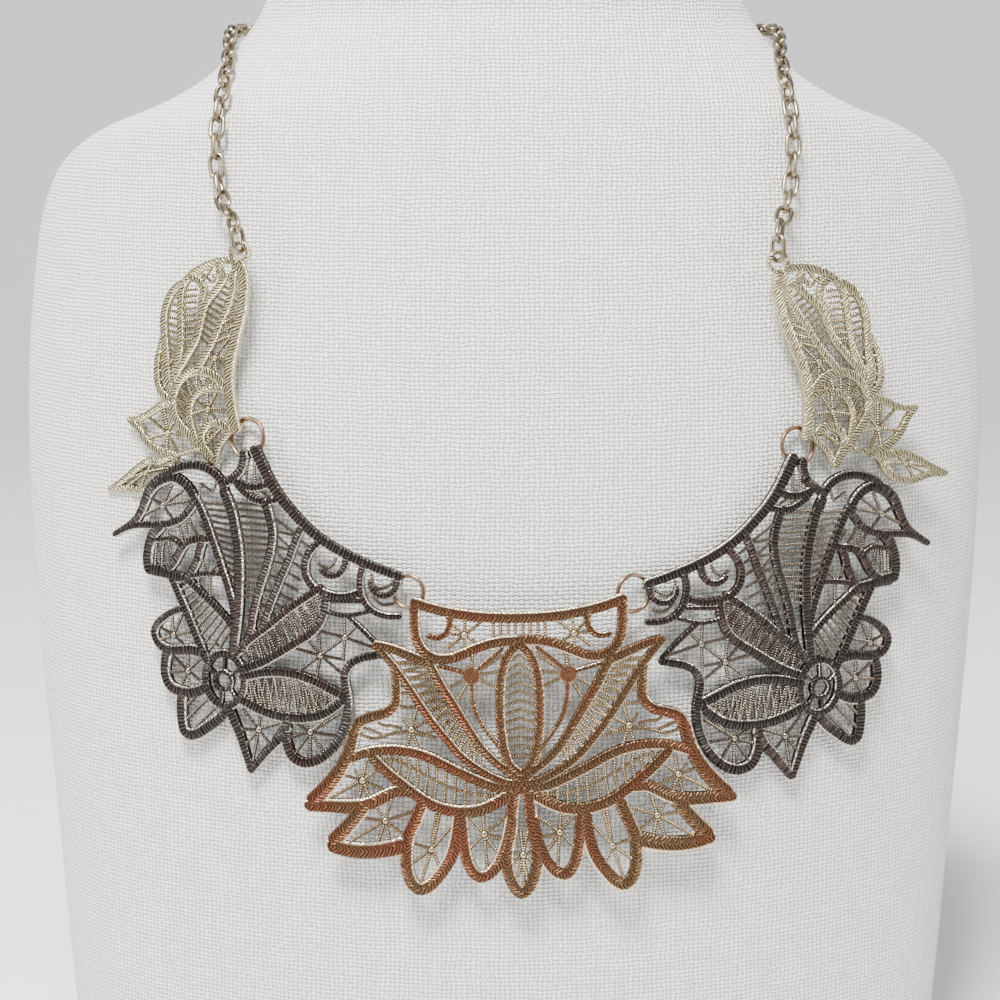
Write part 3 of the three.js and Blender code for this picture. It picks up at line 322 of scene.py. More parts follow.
SIDE_LADDERS: tuple[Ladder, ...] = (
    Ladder(((-10.2, 39.8), (-11.6, 34), (-10.3, 26.4), (-8.4, 20.4)), ((-1.8, 40.0),
        (-3.2, 33), (-3.8, 26), (-3.7, 19.4)), 15),
    Ladder(((-18.4, 35.4), (-15.4, 28), (-12.4, 21), (-9.4, 13)), ((-11.2, 38.0),
        (-11.5, 31.6), (-9.6, 24.4), (-7.0, 15)), 15, True),
    Ladder(((-22.2, 33.2), (-19.8, 29), (-18.6, 24.6), (-16.4, 18.6), (-11.6, 14.4)),
        ((-18.6, 35.8), (-16.4, 30.6), (-13.7, 24.2), (-11.6, 19.4), (-9.4, 14)), 10),
    Ladder(((-1.2, 39.4), (-3.2, 32), (-3.7, 25), (-3.2, 15)), ((7.6, 40.4), (4.6, 35.4),
        (2.0, 29.0), (-1.6, 19.4)), 17, False, True),
    Ladder(((0.6, 43.0), (6.4, 39), (4.9, 36.3), (3.6, 33.4), (1.2, 27.4)), ((1.6, 45.3),
        (6.8, 42.6), (7.0, 38.6), (6.0, 34.4), (3.0, 31.8)), 9, True),
    Ladder(((-2.0, 12.2), (1.4, 16), (5.8, 19.3), (9, 21.8)), ((2.4, 5.4), (6.2, 9.4),
        (9.6, 15.4), (12.4, 20.6)), 11),
    Ladder(((-27.4, -1.2), (-22, 1.6), (-14, 3.0), (-6, 1.6)), ((-27.4, -2.0), (-22, -5),
        (-14, -5.8), (-6, -3.8)), 22, True),
    Ladder(((-24, -3.6), (-17, 3.0), (-10, 3.0), (-5, 0.6)), ((-27, -1), (-22, -5.0),
        (-13, -6.0), (-7, -4.6)), 13),
    Ladder(((-23, 22.4), (-15.5, 17.2), (-8, 11), (-4.4, 7.6)), ((-24, 19), (-20, 12.6),
        (-12.7, 7.8), (-6, 4.6)), 20, True),
    Ladder(((-22.6, 22.4), (-14.5, 16.4), (-7, 10.2)), ((-24, 20), (-19, 12), (-9, 5.8)), 11),
    Ladder(((-9.8, 44.0), (-6, 43.2), (-3.2, 44.6)), ((-8.6, 50.0), (-6.0, 50.2),
        (-4.8, 49.4)), 4),
    Ladder(((-13.0, 41.8), (-10.2, 41.0), (-5.2, 42.4)), ((-11.2, 44.5), (-8.4, 43.6),
        (-3.0, 44.3)), 6, True),
)

SHOULDER_STARS: tuple[Star, ...] = (
    Star((-3.4, 17.2), ((-8.2, 21.4), (-7.8, 16.8), (-6.8, 14.2), (-2.0, 19.6), (-0.6, 17.4),
        (-1.4, 14.4), (-3.4, 12.8)), 0.5),
    Star((0.1, 5.9), ((-6, 5.5), (4.9, 5.1), (-3.4, 10.2), (-0.2, 10.4), (3.4, 8.4),
        (-2.4, 2.6), (1.4, 2.0)), 0.5),
    Star((12.2, 1.6), ((12.4, 8.0), (13.4, 7.8), (17.6, 6.0), (18.8, 0.8), (13.4, -3.2),
        (9.8, -3.4), (8.0, 0.9), (9.2, 5.0)), 0.6),
    Star((20.1, -6.8), ((17.4, -4.6), (14.8, -6.4), (26.8, -8.0), (26.4, -9.6), (22.4, -10.4),
        (22.6, -5.4)), 0.6),
)
SHOULDER_THREADS: tuple[Thread, ...] = (
    ((-9.8, 25.6), (-5.8, 24)), ((-9.4, 23.6), (-4, 22)), ((-8.2, 21.6), (-3, 20.2)),
    ((-5.6, 37.4), (-4, 35.6), (-2.6, 34.6)), ((-3.2, 1.6), (-1.0, 0.2), (0.6, 0.6),
        (1.0, -0.8), (0, -1.2)), ((8.2, 18.0), (9.6, 16.8)), ((7.0, 14.8), (9.6, 13.2)),
)
SHOULDER_LADDERS: tuple[Ladder, ...] = (
    Ladder(((-1.0, 32.9), (0.2, 27.6), (1.0, 22.0)), ((3.2, 33.2), (4.2, 28.4), (5.0, 22.0)), 9),
    Ladder(((3.8, 31.5), (4.8, 25.2), (6.0, 18.8)), ((7.6, 32.2), (9.4, 26.4), (9.8, 20.6)), 9),
    Ladder(((9.8, 22.4), (10.0, 17.6), (10.2, 12.4)), ((11.4, 21.4), (13.0, 16.6),
        (12.8, 11.6)), 6),
    Ladder(((-10.2, 31.6), (-7.8, 27.2), (-4.9, 22.9), (-2.6, 20)), ((-7.4, 33.0),
        (-3.6, 30.0), (-1.2, 26.0), (0.4, 22.4)), 10),
    Ladder(((-12.4, 31.0), (-10.4, 24.4), (-8.0, 18.6)), ((-10.6, 33.2), (-8.4, 28.4),
        (-6.2, 25.2)), 6, True),
    Ladder(((-4.2, 11.6), (0.6, 14.2), (5.8, 13.2), (8.8, 9.6), (8.6, 4.2)), ((-3.2, 10.6),
        (-0.4, 10.8), (3.8, 8.9), (5.3, 6.2), (5.0, 2.4)), 16, True),
    Ladder(((-11.2, 36.2), (-8.4, 36.8), (-4, 36.4), (0, 35.4)), ((-8.6, 34.4), (-6.6, 34.4),
        (-4, 33.4), (-2.0, 33.8)), 5, True),
)


# ------------------------------------------------------------------ lines and placings
def smooth_line(points: Array, step: float) -> Array:
    """A smooth line through points, evenly spaced: cubic pieces, knots spaced by root distance.

    Args:
        points: (n, d) points the line passes through.
        step: wanted spacing of the result.

    Returns:
        (m, d) points at even arc length, both ends included.
    """
    p = np.asarray(points, float)
    p = np.vstack([2 * p[0] - p[1], p, 2 * p[-1] - p[-2]])
    gap = np.maximum(np.linalg.norm(np.diff(p, axis=0), axis=1) ** 0.5, 1e-4)[:, None]
    chord = np.diff(p, axis=0)
    bend = (p[2:] - p[:-2]) / (gap[:-1] + gap[1:])
    out_slope = (chord[:-1] / gap[:-1] - bend + chord[1:] / gap[1:])
    start, end = out_slope[:-1] * gap[1:-1], out_slope[1:] * gap[1:-1]
    t = np.linspace(0, 1, 25)[:-1][None, :, None]
    a, b = p[1:-2][:, None], p[2:-1][:, None]
    m0, m1 = start[:, None], end[:, None]
    curve = ((2 * t**3 - 3 * t**2 + 1) * a + (t**3 - 2 * t**2 + t) * m0
        + (-2 * t**3 + 3 * t**2) * b + (t**3 - t**2) * m1)
    return even_line(np.vstack([curve.reshape(-1, p.shape[1]), p[-2][None]]), step)


def even_line(line: Array, step: float, count: int = 0) -> Array:
    """The same polyline with evenly spaced points.

    Args:
        line: (n, d) points.
        step: wanted spacing, used when count is 0.
        count: number of points wanted.

    Returns:
        (m, d) evenly spaced points.
    """
    reach = np.concatenate([[0], np.cumsum(np.linalg.norm(np.diff(line, axis=0), axis=1))])
    total = count or max(int(np.ceil(reach[-1] / step)), 2) + 1
    at = np.linspace(0, reach[-1], total)
    return np.stack([np.interp(at, reach, line[:, k]) for k in range(line.shape[1])], axis=1)


def chest_front(z: Array) -> Array:
    """Foremost y of the chest at a height: a lean of 4 degrees, then a curl towards the neck."""
    above = np.maximum(z - CHEST_CURL_Z, 0.0)
    return CHEST_FRONT_Y + CHEST_LEAN * (z - CHEST_DATUM_Z) + above**2 / (2 * CHEST_CURL_RADIUS)


def turn_matrix(axis: int, degrees: float) -> Array:
    """Rotation about an axis by the right-hand rule.

    Args:
        axis: 0, 1 or 2 for x, y or z.
        degrees: the turn.

    Returns:
        (3, 3) matrix.
    """
    c, s = np.cos(np.radians(degrees)), np.sin(np.radians(degrees))
    i, j = (axis + 1) % 3, (axis + 2) % 3
    m = np.eye(3)
    m[i, i] = m[j, j] = c
    m[j, i], m[i, j] = s, -s
    return m


@dataclass(frozen=True)
class Placing:
    """Where a flat-drawn plate hangs on the chest.

    around is the arc length from the middle of the chest; turn is in the plate's plane, swing
    brings its outer edge to or from the chest, tip leans its top away; lift is behind it.
    """

    around: float
    height: float
    turn: float
    swing: float
    tip: float
    lift: float
    side: int = 1
    scale: Point = (1.0, 1.0)

    def draw(self, points: Array) -> Array:
        """Mirrors and scales [across, up] points of the drawing."""
        return np.asarray(points, float) * [self.side * self.scale[0], self.scale[1]]

    def hang(self, points: Array) -> Array:
        """Bends flat points (x across, y up, z out) about the upright axis and places them.

        Args:
            points: (n, 3) points in the plate's own frame.

        Returns:
            (n, 3) points in the necklace's frame.
        """
        angle, radius = points[:, 0] / PLATE_BEND, PLATE_BEND + points[:, 2]
        bent = np.stack([radius * np.sin(angle), points[:, 1],
            radius * np.cos(angle) - PLATE_BEND], axis=1)
        turned = turn_matrix(2, self.turn) @ turn_matrix(1, -self.swing) @ turn_matrix(0, self.tip)
        around = self.around / CHEST_RADIUS
        foot = np.array([CHEST_RADIUS * np.sin(around), float(chest_front(np.array(self.height)))
            + CHEST_RADIUS * (1 - np.cos(around)), self.height])
        across = np.array([np.cos(around), np.sin(around), 0.0])
        up = np.array([0, CHEST_LEAN + max(self.height - CHEST_CURL_Z, 0) / CHEST_CURL_RADIUS, 1])
        up = up - across * up.dot(across)
        up /= np.linalg.norm(up)
        out = np.cross(across, up)
        basis = np.stack([across, up, out], axis=1) @ turned
        return bent @ basis.T + foot + out * self.lift


# ------------------------------------------------------------------ meshes
@dataclass
class Solid:
    """Points, faces and per-point values that grow piece by piece into one mesh."""

    points: list[Array] = field(default_factory=list)
    faces: list[tuple[int, ...]] = field(default_factory=list)
    values: dict[str, list[Array]] = field(default_factory=lambda: {
        "relief": [], "edge": [], "phase": [], "cut": []})
    count: int = 0

    def add_grid(self, grid: Array, relief: Array, edge: Array, closed: bool = False,
                 phase: Union[Array, float] = 0.0, cut: Union[Array, float] = 0.0) -> None:
        """Adds a tube: rows of a closed section carried along a path.

        Args:
            grid: (rows, section, 3) points; the section goes round and meets itself.
            relief: (rows, section) height of the surface, 0 in a groove and 1 on a crown.
            edge: (rows, section) share of the painted highlight, 1 where it is brightest.
            closed: joins the last row to the first; otherwise both ends get a flat cap.
            phase: (rows, section) number of grooves passed so far.
            cut: (rows, section) how deep the grooves bite there, 0 to 1.
        """
        rows, around = grid.shape[:2]
        index = np.arange(rows * around).reshape(rows, around) + self.count
        ahead = np.roll(index, -1, axis=0)[: rows if closed else rows - 1]
        here = index[: rows if closed else rows - 1]
        quads = np.stack([here, np.roll(here, -1, 1), np.roll(ahead, -1, 1), ahead], axis=-1)
        self.faces += quads.reshape(-1, 4).tolist()
        if not closed:
            self.faces += [index[0][::-1].tolist(), index[-1].tolist()]
        self.points.append(grid.reshape(-1, 3))
        for label, value in (("relief", relief), ("edge", edge), ("phase", phase), ("cut", cut)):
            self.values[label].append(np.broadcast_to(value, (rows, around)).reshape(-1))
        self.count += rows * around

    def make(self, name: str, finish: bpy.types.Material, crease: float = 48.0,
             move: Optional[Placing] = None) -> bpy.types.Object:
        """Makes the object, its finish and its values.

        Args:
            name: the object's name.
            finish: its material.
            crease: degrees past which an edge stays sharp.
            move: bends and places the points first, if given.

        Returns:
            The new object, at the origin.
        """
        points = np.vstack(self.points)
        points = move.hang(points) if move else points
        return make_object(name, points * METRES, self.faces, finish, crease,
            {label: np.concatenate(parts) for label, parts in self.values.items()})


def make_object(name: str, points: Array, faces: list, finish: bpy.types.Material,
                crease: float, values: dict[str, Array]) -> bpy.types.Object:
    """Puts a mesh in the scene, faces outwards.

    Args:
        name: the object's name.
        points: (n, 3) points in metres.
        faces: point indices of each face.
        finish: the material.
        crease: degrees past which an edge stays sharp.
        values: named value of every point.

    Returns:
        The new object.
    """
    mesh = bpy.data.meshes.new(name)
    mesh.from_pydata(points.tolist(), [], faces)
    corners = np.empty(len(mesh.loops), dtype=np.int32)
    mesh.loops.foreach_get("vertex_index", corners)
    if signed_volume(mesh, points, corners) < 0:
        mesh.flip_normals()
        mesh.loops.foreach_get("vertex_index", corners)
    for label, value in values.items():
        layer = mesh.attributes.new(label, "FLOAT", "POINT")
        layer.data.foreach_set("value", value.astype(np.float32))
    mesh.shade_smooth()
    mesh.set_sharp_from_angle(angle=float(np.radians(crease)))
    mesh.materials.append(finish)
    piece = bpy.data.objects.new(name, mesh)
    bpy.context.scene.collection.objects.link(piece)
    return piece


def signed_volume(mesh: bpy.types.Mesh, points: Array, corners: Array) -> float:
    """Six times the volume that the faces enclose, as the sum of each corner's triple product.

    Args:
        mesh: the mesh.
        points: (n, 3) its points.
        corners: point index of every face corner.

    Returns:
        The sum; negative when the faces point inwards.
    """
    starts = np.empty(len(mesh.polygons), dtype=np.int32)
    totals = np.empty(len(mesh.polygons), dtype=np.int32)
    mesh.polygons.foreach_get("loop_start", starts)
    mesh.polygons.foreach_get("loop_total", totals)
    p = points - points.mean(axis=0)
    quads = starts[totals >= 3]
    first, second, third = (p[corners[quads + k]] for k in range(3))
    fourth = p[corners[quads + np.minimum(totals[totals >= 3] - 1, 3)]]
    return float(np.einsum("ij,ij->", first, np.cross(second, third) + np.cross(third, fourth)))


class Groove(Enum):
    """How a rib's crown is cut: straight across, slanted, or as a herringbone."""

    ACROSS = auto()
    SLANTED = auto()
    HERRINGBONE = auto()


@dataclass(frozen=True)
class RibCut:
    """Shape of every rib of a plate: groove pitch, how the cut runs, and the rib's fullness."""

    pitch: float
    groove: Groove
    swell: float = 1.0
    step: float = 0.34

    def add_rib(self, solid: Solid, line: Array, widths: Array, closed: bool = False) -> None:
        """Adds a rib: a low crowned section carried along a flat line, open ends rounded.

        The section is a wall from the plate's back, an edge and a crown; one edge carries a painted
        highlight. The grooves are cut by the finish, which reads how many grooves lie behind each
        point:
        (length along + slant times place across) / pitch, made a little uneven.

        Args:
            solid: what the rib is added to.
            line: (n, 2) middle line.
            widths: (n,) full width along it.
            closed: the line meets itself.
        """
        if not closed:
            line, widths = self._reach(line, widths)
        along = np.gradient(line, axis=0)
        if closed:
            along = np.roll(line, -1, 0) - np.roll(line, 1, 0)
        along /= np.linalg.norm(along, axis=1)[:, None]
        normal = np.stack([-along[:, 1], along[:, 0]], axis=1)
        length = np.concatenate([[0], np.cumsum(np.linalg.norm(np.diff(line, axis=0), axis=1))])
        half = widths * self.swell / 2
        if not closed:
            to_end = np.minimum(length, length[-1] - length)
            half = half * np.sqrt(np.clip(1 - (1 - np.minimum(to_end / (half * 0.9), 1)) ** 2,
                0.02, 1))
        place = np.array([-1, -1, -0.86, -0.5, 0, 0.5, 0.86, 1, 1])[None, :]
        height = np.array([0, 0.95, 1.14, 1.24, CROWN_HEIGHT, 1.24, 1.14, 0.95, 0])[None, :]
        slant = {Groove.ACROSS: 0 * place * half[:, None],
            Groove.SLANTED: 0.6 * place * half[:, None],
            Groove.HERRINGBONE: 0.7 * np.abs(place) * half[:, None]}[self.groove]
        uneven = 0.12 * np.sin(length * 1.9) + 0.1 * np.sin(length * 4.3 + 1)
        phase = (length[:, None] + slant) / self.pitch + uneven[:, None]
        reach = half[:, None] * place
        grid = np.empty((len(line), 9, 3))
        grid[..., 0] = line[:, 0, None] + normal[:, 0, None] * reach
        grid[..., 1] = line[:, 1, None] + normal[:, 1, None] * reach
        grid[..., 2] = height * (PLATE_THICKNESS / CROWN_HEIGHT)
        # Share of the painted highlight across the section, brightest on one side's edge.
        edge = np.array([[0.1, 0.35, 0.45, 0, 0, 0.1, 1, 0.7, 0.2]])
        cut = np.array([[0, 0.25, 0.85, 1, 1, 1, 0.6, 0.1, 0]])
        solid.add_grid(grid, np.full((1, 1), 1.0), edge, closed, phase, cut)

    def _reach(self, line: Array, widths: Array) -> tuple[Array, Array]:
        """Draws both ends out by a quarter of the width, so that corners of ribs are filled.

        Args:
            line: (n, 2) middle line.
            widths: (n,) width along it.

        Returns:
            The longer line, evenly spaced, and the width at each of its points.
        """
        first, last = line[0] - line[1], line[-1] - line[-2]
        head = line[0] + first / np.linalg.norm(first) * widths[0] * 0.25
        tail = line[-1] + last / np.linalg.norm(last) * widths[-1] * 0.25
        longer = np.vstack([head[None], line, tail[None]])
        at = np.linspace(0, 1, len(line) + 2)
        even = even_line(longer, self.step)
        return even, np.interp(np.linspace(0, 1, len(even)), at,
            np.concatenate([widths[:1], widths, widths[-1:]]))


def add_thread(solid: Solid, line: Array, radius: float = 0.34, depth: float = 0.8) -> None:
    """Adds a beaded thread: a six-sided tube whose radius swells to a bead every BEAD_PITCH.

    Args:
        solid: what it is added to.
        line: (n, 2) flat points it passes through.
        radius: between beads.
        depth: height of its middle above the plate's back.
    """
    path = (smooth_line(line, THREAD_STEP) if len(line) > 2
        else even_line(np.asarray(line), THREAD_STEP))
    along = np.gradient(path, axis=0)
    along /= np.linalg.norm(along, axis=1)[:, None] + 1e-9
    length = np.arange(len(path)) * THREAD_STEP
    beat = np.abs(np.cos(np.pi * length / BEAD_PITCH))
    swell = radius * (0.92 + 0.42 * beat)
    turn = np.linspace(0, 2 * np.pi, 7)[:-1]
    grid = np.empty((len(path), 6, 3))
    grid[..., 0] = path[:, :1] - along[:, 1:] * np.cos(turn) * swell[:, None]
    grid[..., 1] = path[:, 1:] + along[:, :1] * np.cos(turn) * swell[:, None]
    grid[..., 2] = depth + np.sin(turn) * swell[:, None]
    # Painted shade: relief falls to 0.12 between beads, where the finish gives the dark groove
    # colour.
    solid.add_grid(grid, (0.12 + 0.88 * beat)[:, None], np.full((1, 6), 0.4))


def add_ball(solid: Solid, centre: Point, radius: float, depth: float = 0.85) -> None:
    """Adds a ball: rings of ten points between two small caps.

    Args:
        solid: what it is added to.
        centre: (across, up) of its middle.
        radius: its radius; it is a fifth lower than it is wide.
        depth: height of its middle above the plate's back.
    """
    rise = np.linspace(-1.45, 1.45, 9)[:, None]
    turn = np.linspace(0, 2 * np.pi, 11)[None, :-1]
    grid = np.stack([centre[0] + radius * np.cos(rise) * np.cos(turn),
        centre[1] + radius * np.cos(rise) * np.sin(turn),
        depth + radius * 0.8 * np.sin(rise) + 0 * turn], axis=-1)
    # edge 0.6 paints a faint highlight over the whole ball.
    solid.add_grid(grid, np.ones((1, 1)), np.full((1, 1), 0.6))


def add_ring(solid: Solid, centre: Array, first: Array, second: Array, wire: float,
             steps: int = 56, sides: int = 14) -> None:
    """Adds a round wire loop: centre + cos * first + sin * second, with a round section.

    Args:
        solid: what it is added to.
        centre: (3,) middle.
        first: (3,) radius to one side.
        second: (3,) radius square to it.
        wire: radius of the wire.
        steps: points round the loop.
        sides: points round the wire.
    """
    t = np.linspace(0, 2 * np.pi, steps + 1)[:-1, None]
    spine = np.cos(t) * first + np.sin(t) * second
    outward = np.cos(t) * first / np.linalg.norm(first) + np.sin(t) * second / np.linalg.norm(
        second)
    axis = np.cross(first, second)
    axis /= np.linalg.norm(axis)
    add_wire(solid, centre + spine, outward, axis, wire, sides)


def add_wire(solid: Solid, spine: Array, outward: Array, axis: Array, wire: float,
             sides: int) -> None:
    """Adds a closed round wire along a flat closed spine.

    Args:
        solid: what it is added to.
        spine: (n, 3) middle line.
        outward: (n, 3) unit direction in the loop's plane at each point.
        axis: (3,) unit direction square to the plane.
        wire: radius.
        sides: points round the wire.
    """
    turn = np.linspace(0, 2 * np.pi, sides + 1)[None, :-1, None]
    grid = spine[:, None] + wire * (np.cos(turn) * outward[:, None] + np.sin(turn) * axis)
    # edge 0.5 paints a faint highlight where the antique finish reads it, on the plates' back loops;
    # the wire finish ignores it.
    solid.add_grid(grid, np.ones((1, 1)), np.full((1, 1), 0.5), closed=True)


# ------------------------------------------------------------------ finishes
class Signal:
    """One shader value that can be added, multiplied and compared as in plain maths."""

    def __init__(self, shader: "Shader", socket: bpy.types.NodeSocket) -> None:
        """Holds the socket and the shader it belongs to."""
        self.shader, self.socket = shader, socket

    def _with(self, operation: str, first: "Value", second: "Value" = 0.0) -> "Signal":
        """Adds a Math node."""
        return self.shader.signal("ShaderNodeMath", {"operation": operation},
            {0: first, 1: second})

    def __add__(self, other: "Value") -> "Signal":
        """Sum."""
        return self._with("ADD", self, other)

    __radd__ = __add__

    def __sub__(self, other: "Value") -> "Signal":
        """Difference."""
        return self._with("SUBTRACT", self, other)

    def __rsub__(self, other: "Value") -> "Signal":
        """Difference, reflected."""
        return self._with("SUBTRACT", other, self)

    def __mul__(self, other: "Value") -> "Signal":
        """Product."""
        return self._with("MULTIPLY", self, other)

    __rmul__ = __mul__

    def __pow__(self, other: "Value") -> "Signal":
        """Power."""
        return self._with("POWER", self, other)

    def __rpow__(self, other: "Value") -> "Signal":
        """Power, reflected."""
        return self._with("POWER", other, self)

    def sin(self) -> "Signal":
        """Sine."""
        return self._with("SINE", self)

    def size(self) -> "Signal":
        """Absolute value."""
        return self._with("ABSOLUTE", self)

    def larger(self, other: "Value") -> "Signal":
        """The larger of two values."""
        return self._with("MAXIMUM", self, other)

    def between(self, low: float, high: float) -> "Signal":
        """0 below low, 1 above high and even in between."""
        return self.shader.signal("ShaderNodeMapRange", {"clamp": True},
            {"Value": self, "From Min": low, "From Max": high})


Value = Union[Signal, float]
Colour = tuple[float, float, float]


class Shader:
    """The node tree of one finish."""

    def __init__(self, name: str) -> None:
        """Starts an empty material."""
        self.material = bpy.data.materials.new(name)
        self.material.use_nodes = True
        self.tree = self.material.node_tree
        self.tree.nodes.clear()

    def node(self, kind: str, settings: dict, inputs: dict) -> bpy.types.Node:
        """Adds a node.

        Args:
            kind: its Blender type.
            settings: its properties, set first.
            inputs: value, colour or Signal of each input, by name or number.

        Returns:
            The node.
        """
        node = self.tree.nodes.new(kind)
        for key, value in settings.items():
            setattr(node, key, value)
        for key, value in inputs.items():
            if isinstance(value, Signal):
                self.tree.links.new(value.socket, node.inputs[key])
            elif isinstance(value, tuple) and len(value) == 3 and node.inputs[key].type == "RGBA":
                node.inputs[key].default_value = (*value, 1.0)
            else:
                node.inputs[key].default_value = value
        return node

    def signal(self, kind: str, settings: dict, inputs: dict,
               output: Union[int, str] = 0) -> Signal:
        """Adds a node and returns one of its outputs."""
        return Signal(self, self.node(kind, settings, inputs).outputs[output])

    def value(self, name: str) -> Signal:
        """A value that the mesh carries at its points."""
        return self.signal("ShaderNodeAttribute", {"attribute_name": name}, {}, "Fac")

    def place(self) -> Signal:
        """Place on the object, in metres."""
        return self.signal("ShaderNodeTexCoord", {}, {}, "Object")

    def noise(self, vector: Signal, scale: float, detail: float = 3.0) -> Signal:
        """Smooth noise, about 0.5 in the middle."""
        return self.signal("ShaderNodeTexNoise", {}, {"Vector": vector, "Scale": scale,
            "Detail": detail}, "Fac")

    def blend(self, factor: Value, first: Union[Signal, Colour],
              second: Union[Signal, Colour]) -> Signal:
        """A colour between two."""
        return self.signal("ShaderNodeMix", {"data_type": "RGBA"},
            {0: factor, 6: first, 7: second}, 2)

    def finish(self, inputs: dict, height: Optional[Signal] = None,
               depth: float = 0.0001) -> bpy.types.Material:
        """Adds the surface and, if given, fine relief.

        Args:
            inputs: values of the surface's sockets.
            height: relief from 0 to 1.
            depth: its depth in metres.

        Returns:
            The material.
        """
        if height is not None:
            inputs["Normal"] = self.signal("ShaderNodeBump", {},
                {"Strength": 1.0, "Distance": depth, "Height": height})
        surface = self.signal("ShaderNodeBsdfPrincipled", {}, inputs)
        self.node("ShaderNodeOutputMaterial", {}, {"Surface": surface})
        return self.material


@dataclass(frozen=True)
class AntiqueMetal:
    """A plated and darkened casting: bright crowns, dark grooves, uneven tone, and a painted
    highlight along one edge of each rib; on threads the dark groove colour between beads is painted
    shade.
    """

    name: str
    crown: Colour
    groove: Colour
    # colour of the painted highlight along rib edges
    painted_highlight: Colour
    warm: Colour
    warm_share: float = 0.5
    roughness: float = 0.3
    depth: float = 0.00022

    def make(self) -> bpy.types.Material:
        """Builds the material.

        The relief is the mesh's own, less the grooves: half of 1 + cos(2 pi * phase), times how
        deep they bite. Tone follows relief, then broad patches, then a painted highlight on the
        edges.
        """
        shader = Shader(self.name)
        place = shader.place()
        patches = shader.noise(place, 60.0, 2.0).between(0.42, 0.62)
        fine = shader.noise(place, 1300.0, 3.0)
        turn = (shader.value("phase") + (fine - 0.5) * 0.35) * (2 * np.pi)
        wave = (turn + np.pi / 2).sin() * 0.5 + 0.5
        relief = shader.value("relief") * (1 - shader.value("cut") * wave ** 1.6)
        rise = (relief + (fine - 0.5) * 0.5).between(0.08, 0.85)
        crown = shader.blend(patches * self.warm_share, self.crown, self.warm)
        tone = shader.blend(rise, self.groove, crown)
        # Painted highlight: where edge is above 0.4, the colour turns towards the highlight colour
        # and the surface gets smoother.
        painted_highlight_share = (shader.value("edge") - 0.4).between(0.0, 0.5) * (rise * 0.7 + 0.3)
        colour = shader.blend(painted_highlight_share, tone, self.painted_highlight)
        rough = self.roughness + (1 - rise) * 0.25 + (fine - 0.5) * 0.18 - painted_highlight_share * 0.12
        return shader.finish({"Base Color": colour, "Metallic": 1.0, "Roughness": rough},
            relief + fine * 0.18, self.depth)


@dataclass(frozen=True)
class Wire:
    """Plated wire: even tone, slightly darker in patches."""

    name: str
    light: Colour
    dark: Colour
    roughness: float = 0.26

    def make(self) -> bpy.types.Material:
        """Builds the material."""
        shader = Shader(self.name)
        place = shader.place()
        patches = shader.noise(place, 420.0, 3.0).between(0.35, 0.7)
        colour = shader.blend(patches, self.light, self.dark)
        return shader.finish({"Base Color": colour, "Metallic": 1.0,
            "Roughness": self.roughness + patches * 0.14}, shader.noise(place, 1500.0, 1.0),
            0.00001)


@dataclass(frozen=True)
class Linen:
    """Plain-woven cloth: warp threads run up, weft threads across, one over the other."""

    name: str
    warp_pitch: float = 1.05
    weft_pitch: float = 0.93
    crest: Colour = (0.95, 0.935, 0.895)
    # colour of the painted shade in the weave's low places
    hollow_shade: Colour = (0.50, 0.475, 0.42)

    def make(self) -> bpy.types.Material:
        """Builds the weave.

        A thread's round is the sine of its place in the pitch, and a checker of the two sines
        says which thread is on top; the height is the larger of the two threads.
        """
        shader = Shader(self.name)
        surface = shader.signal("ShaderNodeUVMap", {"uv_map": "surface"}, {})
        split = shader.node("ShaderNodeSeparateXYZ", {}, {0: surface})
        across, up = (Signal(shader, split.outputs[k]) for k in (0, 1))
        wander = shader.noise(surface, 0.11, 3.0) - 0.5
        drift = shader.noise(surface, 0.31, 2.0) - 0.5
        slub_up = self._streak(shader, surface, (0.95, 0.06, 1.0)) - 0.5
        slub_across = self._streak(shader, surface, (0.06, 1.07, 1.0)) - 0.5
        warp = (across + wander * 1.6 + drift * 0.8) * (np.pi / self.warp_pitch)
        weft = (up + wander * 0.9 - drift * 0.6) * (np.pi / self.weft_pitch)
        warp_round, weft_round = warp.sin(), weft.sin()
        checker = (warp_round * weft_round * 1.5).between(-1.0, 1.0)
        warp_height = warp_round.size() ** 0.6 * (0.42 + checker * 0.58 + slub_up * 0.22)
        weft_height = weft_round.size() ** 0.6 * (1 - checker * 0.58 + slub_across * 0.5)
        height = warp_height.larger(weft_height)
        fuzz = shader.noise(surface, 3.6, 4.0)
        # Painted shade: the weave's low places take the hollow colour; fuzz and slubs add the yarn's
        # own uneven tone.
        bright = (height * 0.9 + (fuzz - 0.5) * 0.5 + slub_up * 0.12).between(0.3, 0.9)
        colour = shader.blend(bright, self.hollow_shade, self.crest)
        return shader.finish({"Base Color": colour, "Roughness": 0.93,
            "Specular IOR Level": 0.18, "Sheen Weight": 0.12, "Sheen Roughness": 0.5},
            height + (fuzz - 0.5) * 0.4, 0.0007)

    def _streak(self, shader: Shader, surface: Signal, stretch: tuple) -> Signal:
        """Noise drawn out along a thread."""
        drawn = shader.signal("ShaderNodeMapping", {}, {"Vector": surface, "Scale": stretch})
        return shader.noise(drawn, 1.0, 1.0)


@dataclass(frozen=True)
class Backdrop:
    """Matt, pale floor and wall."""

    name: str = "pale_floor"

    def make(self) -> bpy.types.Material:
        """Builds the material."""
        return Shader(self.name).finish({"Base Color": (0.85, 0.85, 0.86), "Roughness": 0.9})


